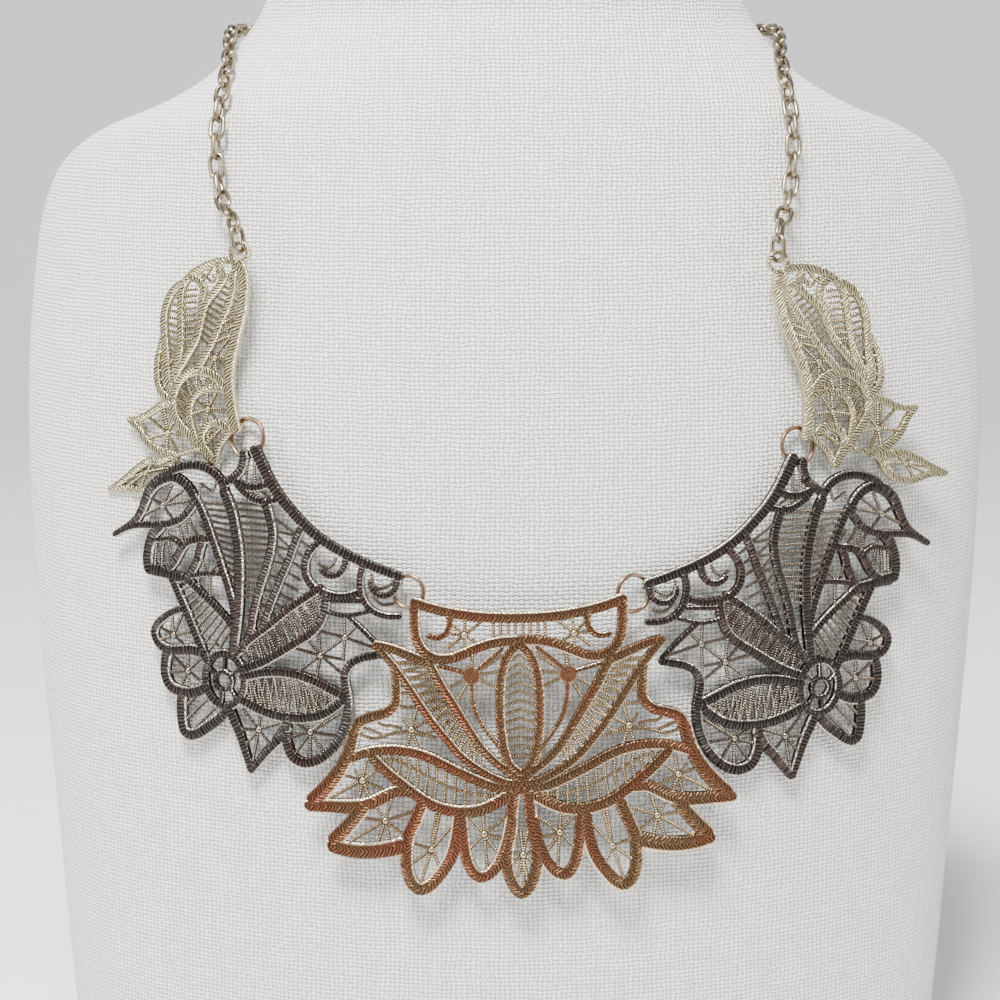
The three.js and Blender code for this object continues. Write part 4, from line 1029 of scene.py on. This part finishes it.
# ------------------------------------------------------------------ the bust
@dataclass
class NeckBust:
    """Linen-covered display bust, cut off flat at the neck and at the base."""

    outline: tuple[Point, ...] = (
        (0, 98), (20, 101.5), (70, 106), (120, 110), (165, 111.5), (195, 110), (212, 107.5),
        (221, 103.5), (227, 97), (231, 89.5), (235, 79), (241, 68.5), (248, 62), (258, 56),
        (274, 50), (300, 46))
    back_y: float = 62.0
    edge_round: float = 10.0
    edge_power: float = 10.0
    neck_from: float = 222.0
    neck_to: float = 256.0
    height: float = 300.0
    rim: float = 5.0

    def width(self, z: Array, smooth: bool) -> Array:
        """Half width at a height.

        Args:
            z: heights.
            smooth: runs a smooth line through the outline's points, not straight stretches.

        Returns:
            Half width at each height.
        """
        table = np.array(self.outline, float)
        if smooth:
            table = smooth_line(table, 1.5)
        return np.interp(z, table[:, 0], table[:, 1])

    def surface(self, z: Array, angle: Array, lift: float = 0.0, smooth: bool = False) -> Array:
        """Points of the surface.

        In front, the chest is an arc of CHEST_RADIUS whose last stretch rounds into the side;
        above neck_from it changes to a half ellipse. The back is a half ellipse throughout.

        Args:
            z: heights.
            angle: 0 at the front, a quarter turn at the sides, pi at the back.
            lift: distance the points stand off the surface.
            smooth: use the smooth outline.

        Returns:
            (..., 3) points.
        """
        width = self.width(z, smooth) + lift
        share_up = np.clip((z - self.neck_from) / (self.neck_to - self.neck_from), 0, 1)
        neck = share_up**2 * (3 - 2 * share_up)
        front = (chest_front(np.minimum(z, self.neck_to))
            + 0.2 * np.maximum(z - self.neck_to, 0) - lift)
        back = self.back_y + lift + 0.02 * z
        x = width * np.sin(angle)
        share = np.minimum(np.abs(x / width), 1)
        arc = CHEST_RADIUS - np.sqrt(CHEST_RADIUS**2 - np.minimum(np.abs(x), width) ** 2)
        chest = arc + self.edge_round * (1 - np.sqrt(1 - share**self.edge_power))
        side_front = (front + CHEST_RADIUS - np.sqrt(CHEST_RADIUS**2 - width**2)
            + self.edge_round)
        side = side_front + ((front + back) / 2 - side_front) * neck
        oval = (side - front) * (1 - np.cos(angle))
        y = np.where(np.cos(angle) >= 0, front + chest + (oval - chest) * neck,
            side - (back - side) * np.cos(angle))
        return np.stack([x, y, z + 0 * x], axis=-1)

    def build(self, finish: bpy.types.Material) -> bpy.types.Object:
        """Builds the bust on a grid of heights and angles; the pattern's place is arc length.

        Args:
            finish: the cloth.

        Returns:
            The object.
        """
        steps = 300
        angle = np.linspace(0, 2 * np.pi, steps + 1)[None, :]
        levels = np.concatenate([[0], np.linspace(1.2, 200, 84), np.linspace(201, 262, 72),
            np.linspace(263, self.height - self.rim, 22)])
        grid = self.surface(levels[:, None] + 0 * angle, angle, smooth=True)
        turn = np.linspace(0, np.pi / 2, 8)[1:]
        middle = self._middle(grid[-1])
        top = [middle + (grid[-1] - middle) * (1 - self.rim / self.outline[-1][1] * (1 - np.cos(t)))
            + [0, 0, self.rim * np.sin(t)] for t in turn]
        top += [self._middle(top[-1]) + (top[-1] - self._middle(top[-1])) * s
            for s in (0.8, 0.5, 0.2, 0.0)]
        foot = grid[0].copy()
        foot_middle = self._middle(foot)
        base = [foot_middle + (foot - foot_middle) * s for s in (0.0, 0.3, 0.7, 0.992)]
        grid = np.concatenate([np.array(base), grid, np.array(top)])
        rise = self._run(grid, 0)
        rise = rise[:, :1] + 0 * rise
        return self._close(grid, rise, finish)

    @staticmethod
    def _middle(row: Array) -> Array:
        """Point halfway between a row's front and back."""
        return (row[0] + row[len(row) // 2]) / 2

    @staticmethod
    def _run(grid: Array, axis: int) -> Array:
        """Arc length along one direction of the grid, from 0.

        Args:
            grid: (rows, columns, 3) points.
            axis: 0 up the rows, 1 along each row.

        Returns:
            (rows, columns) lengths.
        """
        step = np.linalg.norm(np.diff(grid, axis=axis), axis=-1)
        start = np.zeros_like(np.take(step, [0], axis=axis))
        return np.concatenate([start, np.cumsum(step, axis=axis)], axis=axis)

    @staticmethod
    def _close(grid: Array, rise: Array, finish: bpy.types.Material) -> bpy.types.Object:
        """Makes the mesh; the pattern's seam is at the back and both ends close in a point.

        Args:
            grid: (rows, columns, 3) points, first and last column alike.
            rise: (rows, columns) arc length up the front.
            finish: the cloth.

        Returns:
            The object.
        """
        steps = grid.shape[1] - 1
        half = steps // 2
        order = np.concatenate([np.arange(half, steps), np.arange(0, half + 1)])
        grid, lengths = grid[:, order], NeckBust._run(grid[:, order], 1)
        lengths = lengths - lengths[:, half:half + 1]
        rows = grid.shape[0]
        body = grid[1:-1, :-1].reshape(-1, 3)
        index = np.arange((rows - 2) * steps).reshape(rows - 2, steps)
        beside = np.roll(index, -1, 1)
        quads = np.stack([index[:-1], beside[:-1], beside[1:], index[1:]], -1).reshape(-1, 4)
        low, high = len(body), len(body) + 1
        lows = np.stack([np.full(steps, low), beside[0], index[0]], 1)
        highs = np.stack([np.full(steps, high), index[-1], beside[-1]], 1)
        points = np.vstack([body, grid[0, 0], grid[-1, 0]])
        faces = quads.tolist() + lows.tolist() + highs.tolist()
        piece = make_object("linen_bust", points * METRES, faces, finish, 70.0, {})
        place = np.vstack([np.stack([lengths[1:-1, :-1], rise[1:-1, :-1]], -1).reshape(-1, 2),
            [[0, 0]], [[0, float(rise[-1, 0])]]])
        NeckBust._lay_pattern(piece.data, place, lengths, steps)
        return piece

    @staticmethod
    def _lay_pattern(mesh: bpy.types.Mesh, place: Array, lengths: Array,
                     steps: int) -> None:
        """Gives each corner its place in the weave, running on past the seam at the back.

        Args:
            mesh: the bust's mesh.
            place: (n, 2) place of every point.
            lengths: (rows, columns) arc length along each row.
            steps: points in a row.
        """
        corners = np.empty(len(mesh.loops), dtype=np.int32)
        mesh.loops.foreach_get("vertex_index", corners)
        owner = np.repeat(np.arange(len(mesh.polygons)), [len(p.vertices) for p in mesh.polygons])
        uv = place[corners]
        column = np.where(corners < len(place) - 2, corners % steps, -1)
        row = np.minimum(corners // steps, lengths.shape[0] - 3)
        last = np.zeros(len(mesh.polygons), bool)
        np.logical_or.at(last, owner, column == steps - 1)
        wraps = last[owner] & (column == 0)
        uv[wraps, 0] = lengths[1:-1][row[wraps], -1]
        mesh.uv_layers.new(name="surface").data.foreach_set("uv", uv.astype(np.float32).ravel())


# ------------------------------------------------------------------ the plates
@dataclass
class Plate:
    """One cast openwork plate: ribs, rims, threads between them, and loops on its back."""

    name: str
    placing: Placing
    ribs: tuple[RibTable, ...]
    cut: RibCut
    both_halves: bool = False
    discs: tuple[tuple[float, float, float], ...] = ()
    ovals: tuple[tuple[float, float, float, float, float], ...] = ()
    stars: tuple[Star, ...] = ()
    threads: tuple[Thread, ...] = ()
    ladders: tuple[Ladder, ...] = ()
    whole_stars: tuple[Star, ...] = ()

    def halves(self) -> tuple[Array, ...]:
        """Mirror factors of the drawing: both halves of the centre plate, or the one."""
        return (np.array([1.0, 1.0]), np.array([-1.0, 1.0])) if self.both_halves else (
            np.array([1.0, 1.0]),)

    def build_casting(self, finish: bpy.types.Material) -> bpy.types.Object:
        """Builds the ribs, rims and discs.

        Args:
            finish: the plate's metal.

        Returns:
            The object.
        """
        solid = Solid()
        step = self.cut.step
        for table in self.ribs:
            whole = table is COLLAR_BAR
            for mirror in self.halves()[: 1 if whole else 2]:
                for start, end, points in table:
                    line = smooth_line(self.placing.draw(np.array(points) * mirror), step)
                    self.cut.add_rib(solid, line, np.linspace(start, end, len(line)))
        for across, up, half_width, half_height, rib in self.ovals:
            turn = np.linspace(0, 2 * np.pi, 200)[:-1]
            oval = np.stack([across + half_width * np.cos(turn), up + half_height * np.sin(turn)],
                axis=1)
            line = even_line(self.placing.draw(np.vstack([oval, oval[:1]])), step)[:-1]
            self.cut.add_rib(solid, line, np.full(len(line), rib), closed=True)
        for across, up, radius in self.discs:
            self._add_disc(solid, self.placing.draw(np.array([across, up])), radius)
        for ring in RINGS:
            ring.add_back_loop(solid, self)
        return solid.make(f"{self.name}_casting", finish, 52.0, self.placing)

    def _add_disc(self, solid: Solid, centre: Array, radius: float) -> None:
        """Adds a flat disc with a rounded rim and a hatched top.

        Args:
            solid: what it is added to.
            centre: (across, up) of its middle.
            radius: its radius.
        """
        share = np.array([1.0, 1.0, 0.93, 0.72, 0.62, 0.35, 0.05])
        height = np.array([0.0, 0.95, 1.2, 1.24, 1.24, 1.25, CROWN_HEIGHT])
        turn = np.linspace(0, 2 * np.pi, 33)[None, :-1]
        grid = np.stack([centre[0] + radius * share[:, None] * np.cos(turn),
            centre[1] + radius * share[:, None] * np.sin(turn), height[:, None] + 0 * turn], -1)
        # These edge values paint a highlight on the disc's rounded rim.
        solid.add_grid(grid, np.ones((1, 1)), np.array([0.2, 0.6, 0.7, 0, 0, 0, 0])[:, None],
            False, (grid[..., 0] + grid[..., 1]) / 0.7, 0.6)

    def build_threads(self, finish: bpy.types.Material) -> bpy.types.Object:
        """Builds the beaded threads, ladders and stars.

        Args:
            finish: the threads' metal.

        Returns:
            The object.
        """
        solid = Solid()
        draw = self.placing.draw
        for mirror in self.halves():
            for thread in self.threads:
                add_thread(solid, draw(np.array(thread) * mirror))
            for star in self.stars:
                self._add_star(solid, star, mirror)
            for ladder in self.ladders:
                self._add_ladder(solid, ladder, mirror)
        for star in self.whole_stars:
            self._add_star(solid, star, np.array([1.0, 1.0]))
        return solid.make(f"{self.name}_threads", finish, 180.0, self.placing)

    def _add_star(self, solid: Solid, star: Star, mirror: Array) -> None:
        """Adds a star's threads and its ball.

        Args:
            solid: what they are added to.
            star: the star.
            mirror: (2,) factors that mirror the drawing.
        """
        centre = self.placing.draw(np.array(star.centre) * mirror)
        for end in star.ends:
            add_thread(solid, np.stack([centre, self.placing.draw(np.array(end) * mirror)]))
        add_ball(solid, centre, star.ball)

    def _add_ladder(self, solid: Solid, ladder: Ladder, mirror: Array) -> None:
        """Adds a ladder's rungs, or one thread that goes to and fro between its lines.

        Args:
            solid: what they are added to.
            ladder: the ladder.
            mirror: (2,) factors that mirror the drawing.
        """
        first, second = (even_line(smooth_line(self.placing.draw(np.array(line) * mirror), 0.5),
            0.5, ladder.rungs) for line in (ladder.first, ladder.second))
        if ladder.zigzag:
            odd = (np.arange(ladder.rungs) % 2 == 1)[:, None]
            turns = np.where(odd, first, second)
            for a, b in zip(turns[:-1], turns[1:]):
                add_thread(solid, np.stack([a, b]), 0.29)
            return
        ahead = second[1:] if ladder.slanted else second
        for a, b in zip(first, ahead):
            add_thread(solid, np.stack([a, b]), 0.31)

    def at(self, across: float, up: float, depth: float) -> Array:
        """A drawn point in the necklace's frame."""
        flat = self.placing.draw(np.array([across, up]))
        return self.placing.hang(np.array([[flat[0], flat[1], depth]]))[0]


@dataclass(frozen=True)
class JumpRing:
    """Round wire ring through a small loop on the back of each of two plates."""

    name: str
    first: tuple[str, float, float]
    second: tuple[str, float, float]
    wire: float = 0.48
    loop_hole: float = 0.75
    loop_wire: float = 0.32
    loop_depth: float = 0.92

    def ends(self, plates: dict[str, "Plate"]) -> tuple[Array, Array]:
        """Middles of the two loops, in the necklace's frame."""
        return tuple(plates[plate].at(across, up, -self.loop_depth)
            for plate, across, up in (self.first, self.second))

    def add_back_loop(self, solid: Solid, plate: "Plate") -> None:
        """Adds the loop that belongs to a plate, its hole facing along the ring's wire.

        Args:
            solid: the plate's casting, still flat.
            plate: the plate.
        """
        for own, other in ((self.first, self.second), (self.second, self.first)):
            if own[0] != plate.name:
                continue
            middle = np.append(plate.placing.draw(np.array(own[1:])), -self.loop_depth)
            here, there = plate.at(*own[1:], -self.loop_depth), PLATES[other[0]].at(*other[1:],
                -self.loop_depth)
            right = plate.at(own[1] + 0.5 * plate.placing.side, own[2], -self.loop_depth) - here
            top = plate.at(own[1], own[2] + 0.5, -self.loop_depth) - here
            ahead = there - here
            bearing = np.arctan2(ahead @ top / np.linalg.norm(top),
                ahead @ right / np.linalg.norm(right))
            across = np.array([np.cos(bearing), np.sin(bearing), 0.0])
            reach = self.loop_hole + self.loop_wire
            add_ring(solid, middle, across * reach, np.array([0, 0, reach]), self.loop_wire, 22, 9)

    def build(self, finish: bpy.types.Material) -> bpy.types.Object:
        """Builds the ring: a circle on the line between the loops, flat to the plates.

        Args:
            finish: the wire's metal.

        Returns:
            The object.
        """
        start, end = self.ends(PLATES)
        across = (end - start) / 2
        out = sum(self._outward(PLATES[plate], a, u) for plate, a, u in (self.first, self.second))
        out -= across * (out @ across) / (across @ across)
        up = np.cross(out / np.linalg.norm(out), across)
        solid = Solid()
        add_ring(solid, (start + end) / 2, across, up, self.wire)
        return solid.make(f"{self.name}_wire", finish, 180.0)

    @staticmethod
    def _outward(plate: "Plate", across: float, up: float) -> Array:
        """Direction out of a plate's middle."""
        return (plate.placing.hang(np.array([[0, 0, 1.0]]))
            - plate.placing.hang(np.array([[0, 0, 0.0]])))[0]


# ------------------------------------------------------------------ the chain and clasp
@dataclass
class Chain:
    """Curb chain from a shoulder plate's cast eye round the neck to the clasp."""

    hand: Hand
    link_wire: float = 0.52
    half_width: float = 1.5
    half_length: float = 2.65
    pitch: float = 4.45
    join_pitch: float = 3.9
    front_links: int = 15
    lift: float = 3.4
    eye_inset: float = 0.3
    eye_straight: float = 5.0
    axis_y: float = 20.0
    most_links: int = 40
    eye: Point = (-13.1, 39.6)
    way: tuple[Point, ...] = ((217, 34.5), (229, 40.5), (238, 53.5), (245.5, 66), (250, 79),
        (252, 95), (251, 115), (249, 140), (248, 165), (247.5, 176.5))
    first_twists: tuple[float, ...] = (90, 8, 118, 38)
    twist: float = 46.0
    end_twists: tuple[float, ...] = (90, 15, -60)

    def placings(self, bust: NeckBust) -> tuple[Array, Array]:
        """Middle and axes of every link.

        Args:
            bust: the bust that the chain lies on.

        Returns:
            (n, 3) middles and (n, 3, 3) axes: along, across and out, turned about the chain.
        """
        plate = PLATES[f"shoulder_plate_{self.hand.name.lower()}"]
        eye = [plate.at(self.eye[0], self.eye[1] + up / plate.placing.scale[1],
            PLATE_THICKNESS / 2) for up in (0.0, self.eye_straight * plate.placing.scale[1])]
        heights, turns = np.array(self.way, float).T
        lying = bust.surface(heights, self.hand.value * np.radians(turns), self.lift)
        line = smooth_line(np.vstack([eye, lying]), 0.2)
        reach = np.concatenate([[0], np.cumsum(np.linalg.norm(np.diff(line, axis=0), axis=1))])
        stops = self._stops(reach[-1])
        near, far = (np.stack([np.interp(stops + k * self.half_length, reach, line[:, a])
            for a in range(3)], axis=1) for k in (-1, 1))
        middle = (near + far) / 2
        along = (far - near) / np.linalg.norm(far - near, axis=1)[:, None]
        inward = np.stack([-middle[:, 0], self.axis_y - middle[:, 1], 0 * middle[:, 0]], axis=1)
        across = np.cross(inward, along)
        across /= np.linalg.norm(across, axis=1)[:, None]
        out = np.cross(along, across)
        twist = np.radians(self._twists(len(stops)))[:, None]
        turned = across * np.cos(twist) + out * np.sin(twist)
        return middle, np.stack([along, turned, np.cross(along, turned)], axis=1)

    def _stops(self, length: float) -> Array:
        """Arc length of every link's middle; one pitch is shorter, where the lengths meet.

        Args:
            length: of the whole line.

        Returns:
            (n,) arc lengths.
        """
        gaps = np.full(self.most_links, self.pitch)
        gaps[self.front_links - 1] = self.join_pitch
        stops = self.eye_inset + self.half_length + np.concatenate([[0], np.cumsum(gaps)])
        return stops[stops < length - self.half_length]

    def _twists(self, count: int) -> Array:
        """Turn of every link about the chain, left and right in turn but for the two ends.

        Args:
            count: number of links.

        Returns:
            (count,) degrees.
        """
        twist = np.where(np.arange(count) % 2 == 1, self.twist, -self.twist)
        twist[: len(self.first_twists)] = self.first_twists
        hold = -1 if (count - len(self.end_twists)) % 2 else 1
        twist[count - len(self.end_twists):] = hold * np.array(self.end_twists[::-1])
        return twist

    def build(self, bust: NeckBust, finish: bpy.types.Material) -> list[bpy.types.Object]:
        """Builds the front and back lengths.

        A link's spine is a circle drawn out lengthwise into two straight sides, x + s * sign(x).

        Args:
            bust: the bust that the chain lies on.
            finish: the wire's metal.

        Returns:
            The two objects.
        """
        turn = np.linspace(0, 2 * np.pi, 33)[:-1]
        stretch = (self.half_length - self.half_width) * np.tanh(4 * np.cos(turn))
        flat = np.stack([self.half_width * np.cos(turn) + stretch,
            self.half_width * np.sin(turn)], axis=1)
        outward = np.stack([np.cos(turn), np.sin(turn)], axis=1)
        lengths = [Solid(), Solid()]
        for number, (middle, axes) in enumerate(zip(*self.placings(bust))):
            solid = lengths[int(number >= self.front_links)]
            add_wire(solid, middle + flat @ axes[:2], outward @ axes[:2], axes[2],
                self.link_wire, 10)
        side = self.hand.name.lower()
        return [solid.make(f"chain_{side}_{part}_links", finish, 180.0)
            for solid, part in zip(lengths, ("front", "back"))]


# ------------------------------------------------------------------ the necklace's own sizes
SIDE_SCALE = (0.995, 0.996)
COARSE = RibCut(pitch=0.78, groove=Groove.HERRINGBONE, swell=1.3)
BARRED = RibCut(pitch=0.8, groove=Groove.ACROSS, swell=1.22)
ROPED = RibCut(pitch=0.72, groove=Groove.SLANTED, swell=1.06)
PLACINGS = {
    "centre_plate": Placing(3.4, 93.9, 0.8, 0, 0.6, 4.5, 1, (1.006, 0.99)),
    "side_plate_right": Placing(70.1, 110.2, -0.5, 0.15, 1, 1.8, 1, SIDE_SCALE),
    "side_plate_left": Placing(-61.5, 112.7, -0.4, 1, 1.2, 1.9, -1, (0.98, 0.996)),
    "shoulder_plate_right": Placing(71.9, 164.7, -1, 2, 2.2, 2.4, 1, (0.94, 0.967)),
    "shoulder_plate_left": Placing(-63.5, 165.9, 9.2, 4.6, 3.2, 2, -1, (0.93, 0.955)),
}


def side_plate(name: str) -> Plate:
    """The plate with the leaf tips and the wheel hub.

    Args:
        name: the plate's name, which also finds its place.

    Returns:
        The plate.
    """
    return Plate(name, PLACINGS[name], (SIDE_RIBS,), BARRED,
        ovals=((-0.2, 0.5, 4.9, 6.0, 1.5), (0.1, 0.2, 2.15, 2.15, 0.8)),
        stars=SIDE_STARS, threads=SIDE_THREADS, ladders=SIDE_LADDERS)


def shoulder_plate(name: str) -> Plate:
    """The wing-shaped plate below the chain, with a cast eye at its top.

    Args:
        name: the plate's name, which also finds its place.

    Returns:
        The plate.
    """
    return Plate(name, PLACINGS[name], (SHOULDER_RIBS,), ROPED,
        ovals=((-13.1, 39.6, 2.15, 2.15, 0.9),),
        stars=SHOULDER_STARS, threads=SHOULDER_THREADS, ladders=SHOULDER_LADDERS)


PLATES: dict[str, Plate] = {
    "centre_plate": Plate("centre_plate", PLACINGS["centre_plate"], (COLLAR_BAR, CENTRE_HALF),
        COARSE, both_halves=True,
        discs=((-10.1, 24.5, 2.05), (10.1, 24.5, 2.05), (0, 0.3, 2.3), (0, 31.6, 1.6)),
        stars=CENTRE_STARS, threads=CENTRE_THREADS + COLLAR_THREADS, ladders=CENTRE_LADDERS,
        whole_stars=(LOBE_STAR,)),
    **{f"side_plate_{side}": side_plate(f"side_plate_{side}") for side in ("left", "right")},
    **{f"shoulder_plate_{side}": shoulder_plate(f"shoulder_plate_{side}")
        for side in ("left", "right")},
}
RINGS: tuple[JumpRing, ...] = (
    JumpRing("ring_centre_left", ("centre_plate", -21.2, 39.7), ("side_plate_left", -39.9, 25.4)),
    JumpRing("ring_centre_right", ("centre_plate", 21.2, 39.7),
        ("side_plate_right", -39.9, 25.4)),
    JumpRing("ring_side_left", ("shoulder_plate_left", -7, 2.4),
        ("side_plate_left", -6.6, 50.4)),
    JumpRing("ring_side_right", ("shoulder_plate_right", -7, 2.4),
        ("side_plate_right", -6.6, 50.4)),
)

# Each antique metal: name, crown, groove, painted highlight, warm patch colours, then warm share,
# roughness and bump depth.
COPPER = AntiqueMetal("antique_copper", (0.112, 0.066, 0.034), (0.026, 0.0135, 0.0075),
    (0.72, 0.58, 0.40), (0.165, 0.040, 0.021), 0.6, 0.27)
GUNMETAL = AntiqueMetal("antique_gunmetal", (0.043, 0.037, 0.033), (0.010, 0.0085, 0.0075),
    (0.50, 0.45, 0.39), (0.062, 0.034, 0.028), 0.5, 0.24)
PALE_GOLD = AntiqueMetal("antique_pale_gold", (0.50, 0.44, 0.27), (0.032, 0.024, 0.014),
    (0.72, 0.64, 0.43), (0.38, 0.31, 0.17), 0.6, 0.3, 0.0003)
# For the thread metals the near-black groove colour paints the shade between the beads.
COPPER_THREADS = AntiqueMetal("copper_threads", (0.34, 0.25, 0.145), (0.016, 0.010, 0.006),
    (0.5, 0.42, 0.3), (0.20, 0.125, 0.065), 0.6, 0.27)
GUNMETAL_THREADS = AntiqueMetal("gunmetal_threads", (0.19, 0.155, 0.12), (0.010, 0.008, 0.007),
    (0.4, 0.36, 0.3), (0.11, 0.08, 0.06), 0.6, 0.27)
GOLD_THREADS = AntiqueMetal("gold_threads", (0.42, 0.35, 0.21), (0.020, 0.015, 0.009),
    (0.5, 0.44, 0.3), (0.25, 0.19, 0.105), 0.6, 0.27)
NICKEL = Wire("warm_nickel", (0.34, 0.28, 0.19), (0.15, 0.115, 0.078))
RING_METAL = Wire("rosy_ring_metal", (0.26, 0.165, 0.11), (0.13, 0.072, 0.045))


# ------------------------------------------------------------------ the studio
@dataclass(frozen=True)
class Studio:
    """Floor, soft lights and camera."""

    target: tuple[float, float, float] = (-0.00105, -0.05, 0.155)
    distance: float = 0.45
    elevation: float = 12.0
    lens: float = 77.14

    def build(self) -> None:
        """Adds the sweep, the sky light, three soft lights and the camera."""
        self._sweep()
        world = bpy.data.worlds.new("studio")
        world.use_nodes = True
        world.node_tree.nodes["Background"].inputs[0].default_value = (0.93, 0.95, 1.0, 1)
        world.node_tree.nodes["Background"].inputs[1].default_value = 0.4
        bpy.context.scene.world = world
        self._light("top", (-0.15, -0.45, 1.05), (0.32, 0.25), 40.0)
        self._light("left", (-0.9, -0.55, 0.5), (0.3, 0.7), 8.0)
        self._light("right", (0.95, -0.35, 0.55), (0.25, 0.7), 5.0)
        self._camera()

    @staticmethod
    def _sweep() -> bpy.types.Object:
        """Adds the floor, which turns up into a wall through a quarter circle behind.

        Returns:
            The floor and wall in one.
        """
        turn = np.linspace(0, np.pi / 2, 24)
        y = np.concatenate([[-3.0], 0.9 + 0.8 * np.sin(turn), [1.7]])
        z = np.concatenate([[0.0], 0.8 - 0.8 * np.cos(turn), [3.0]])
        x = np.array([-3.0, 3.0])[:, None]
        points = np.stack([x + 0 * y, y + 0 * x, z + 0 * x], axis=-1).reshape(-1, 3)
        near = np.arange(len(y) - 1)
        faces = np.stack([near, near + len(y), near + len(y) + 1, near + 1], 1).tolist()
        mesh = bpy.data.meshes.new("sweep")
        mesh.from_pydata(points.tolist(), [], faces)
        mesh.shade_smooth()
        mesh.materials.append(Backdrop().make())
        sweep = bpy.data.objects.new("sweep", mesh)
        bpy.context.scene.collection.objects.link(sweep)
        return sweep

    def _light(self, name: str, place: tuple, size: tuple, power: float) -> None:
        """Adds an area light that faces the necklace.

        Args:
            name: its name.
            place: its middle, in metres.
            size: its width and height, in metres.
            power: its power in watts.
        """
        lamp = bpy.data.lights.new(name, "AREA")
        lamp.shape, lamp.size, lamp.size_y, lamp.energy = "RECTANGLE", *size, power
        light = bpy.data.objects.new(name, lamp)
        aim = np.array(self.target) - np.array(place)
        light.location = place
        light.rotation_euler = (float(np.arctan2(np.hypot(aim[0], aim[1]), -aim[2])), 0.0,
            float(np.arctan2(-aim[0], aim[1])))
        bpy.context.scene.collection.objects.link(light)

    def _camera(self) -> None:
        """Adds the camera, looking slightly down at the chest."""
        lens = bpy.data.cameras.new("camera")
        lens.lens, lens.sensor_width, lens.clip_start = self.lens, 36.0, 0.01
        camera = bpy.data.objects.new("camera", lens)
        rise = np.radians(self.elevation)
        camera.location = (self.target[0], self.target[1] - self.distance * np.cos(rise),
            self.target[2] + self.distance * np.sin(rise))
        camera.rotation_euler = (float(np.pi / 2 - rise), 0.0, 0.0)
        bpy.context.scene.collection.objects.link(camera)
        bpy.context.scene.camera = camera


def put(piece: bpy.types.Object, slot: str, *nodes: str) -> None:
    """Hands a piece to the frame: it rides the body and replaces CAD nodes.

    Args:
        piece: the object.
        slot: not used.
        nodes: CAD nodes that it replaces.
    """
    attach(piece, "root")
    if nodes:
        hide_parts(*nodes)
    LOG.info("%s: %d faces", piece.name, len(piece.data.polygons))


def main() -> None:
    """Builds the necklace and the studio around the CAD solids."""
    logging.basicConfig(level=logging.INFO, format="%(name)s: %(message)s")
    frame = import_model()
    bust = NeckBust()
    put(bust.build(Linen("linen_weave").make()), "linen", "neck_bust")
    finishes = {"centre": (COPPER.make(), COPPER_THREADS.make(), "copper"),
        "side": (GUNMETAL.make(), GUNMETAL_THREADS.make(), "gunmetal"),
        "shoulder": (PALE_GOLD.make(), GOLD_THREADS.make(), "pale_gold")}
    nickel, ring_metal = NICKEL.make(), RING_METAL.make()
    for name, plate in PLATES.items():
        finish, threads, slot = finishes[name.split("_")[0]]
        put(plate.build_casting(finish), slot, name)
        put(plate.build_threads(threads), slot)
    for ring in RINGS:
        put(ring.build(ring_metal), "nickel", ring.name)
    for hand in Hand:
        for part, piece in zip(("front", "back"), Chain(hand).build(bust, nickel)):
            put(piece, "nickel", f"chain_{hand.name.lower()}_{part}")
    clasp = frame["nodes"]["clasp"]
    clasp.data.materials.clear()
    clasp.data.materials.append(nickel)
    Studio().build()


if __name__ == "__main__":
    main()
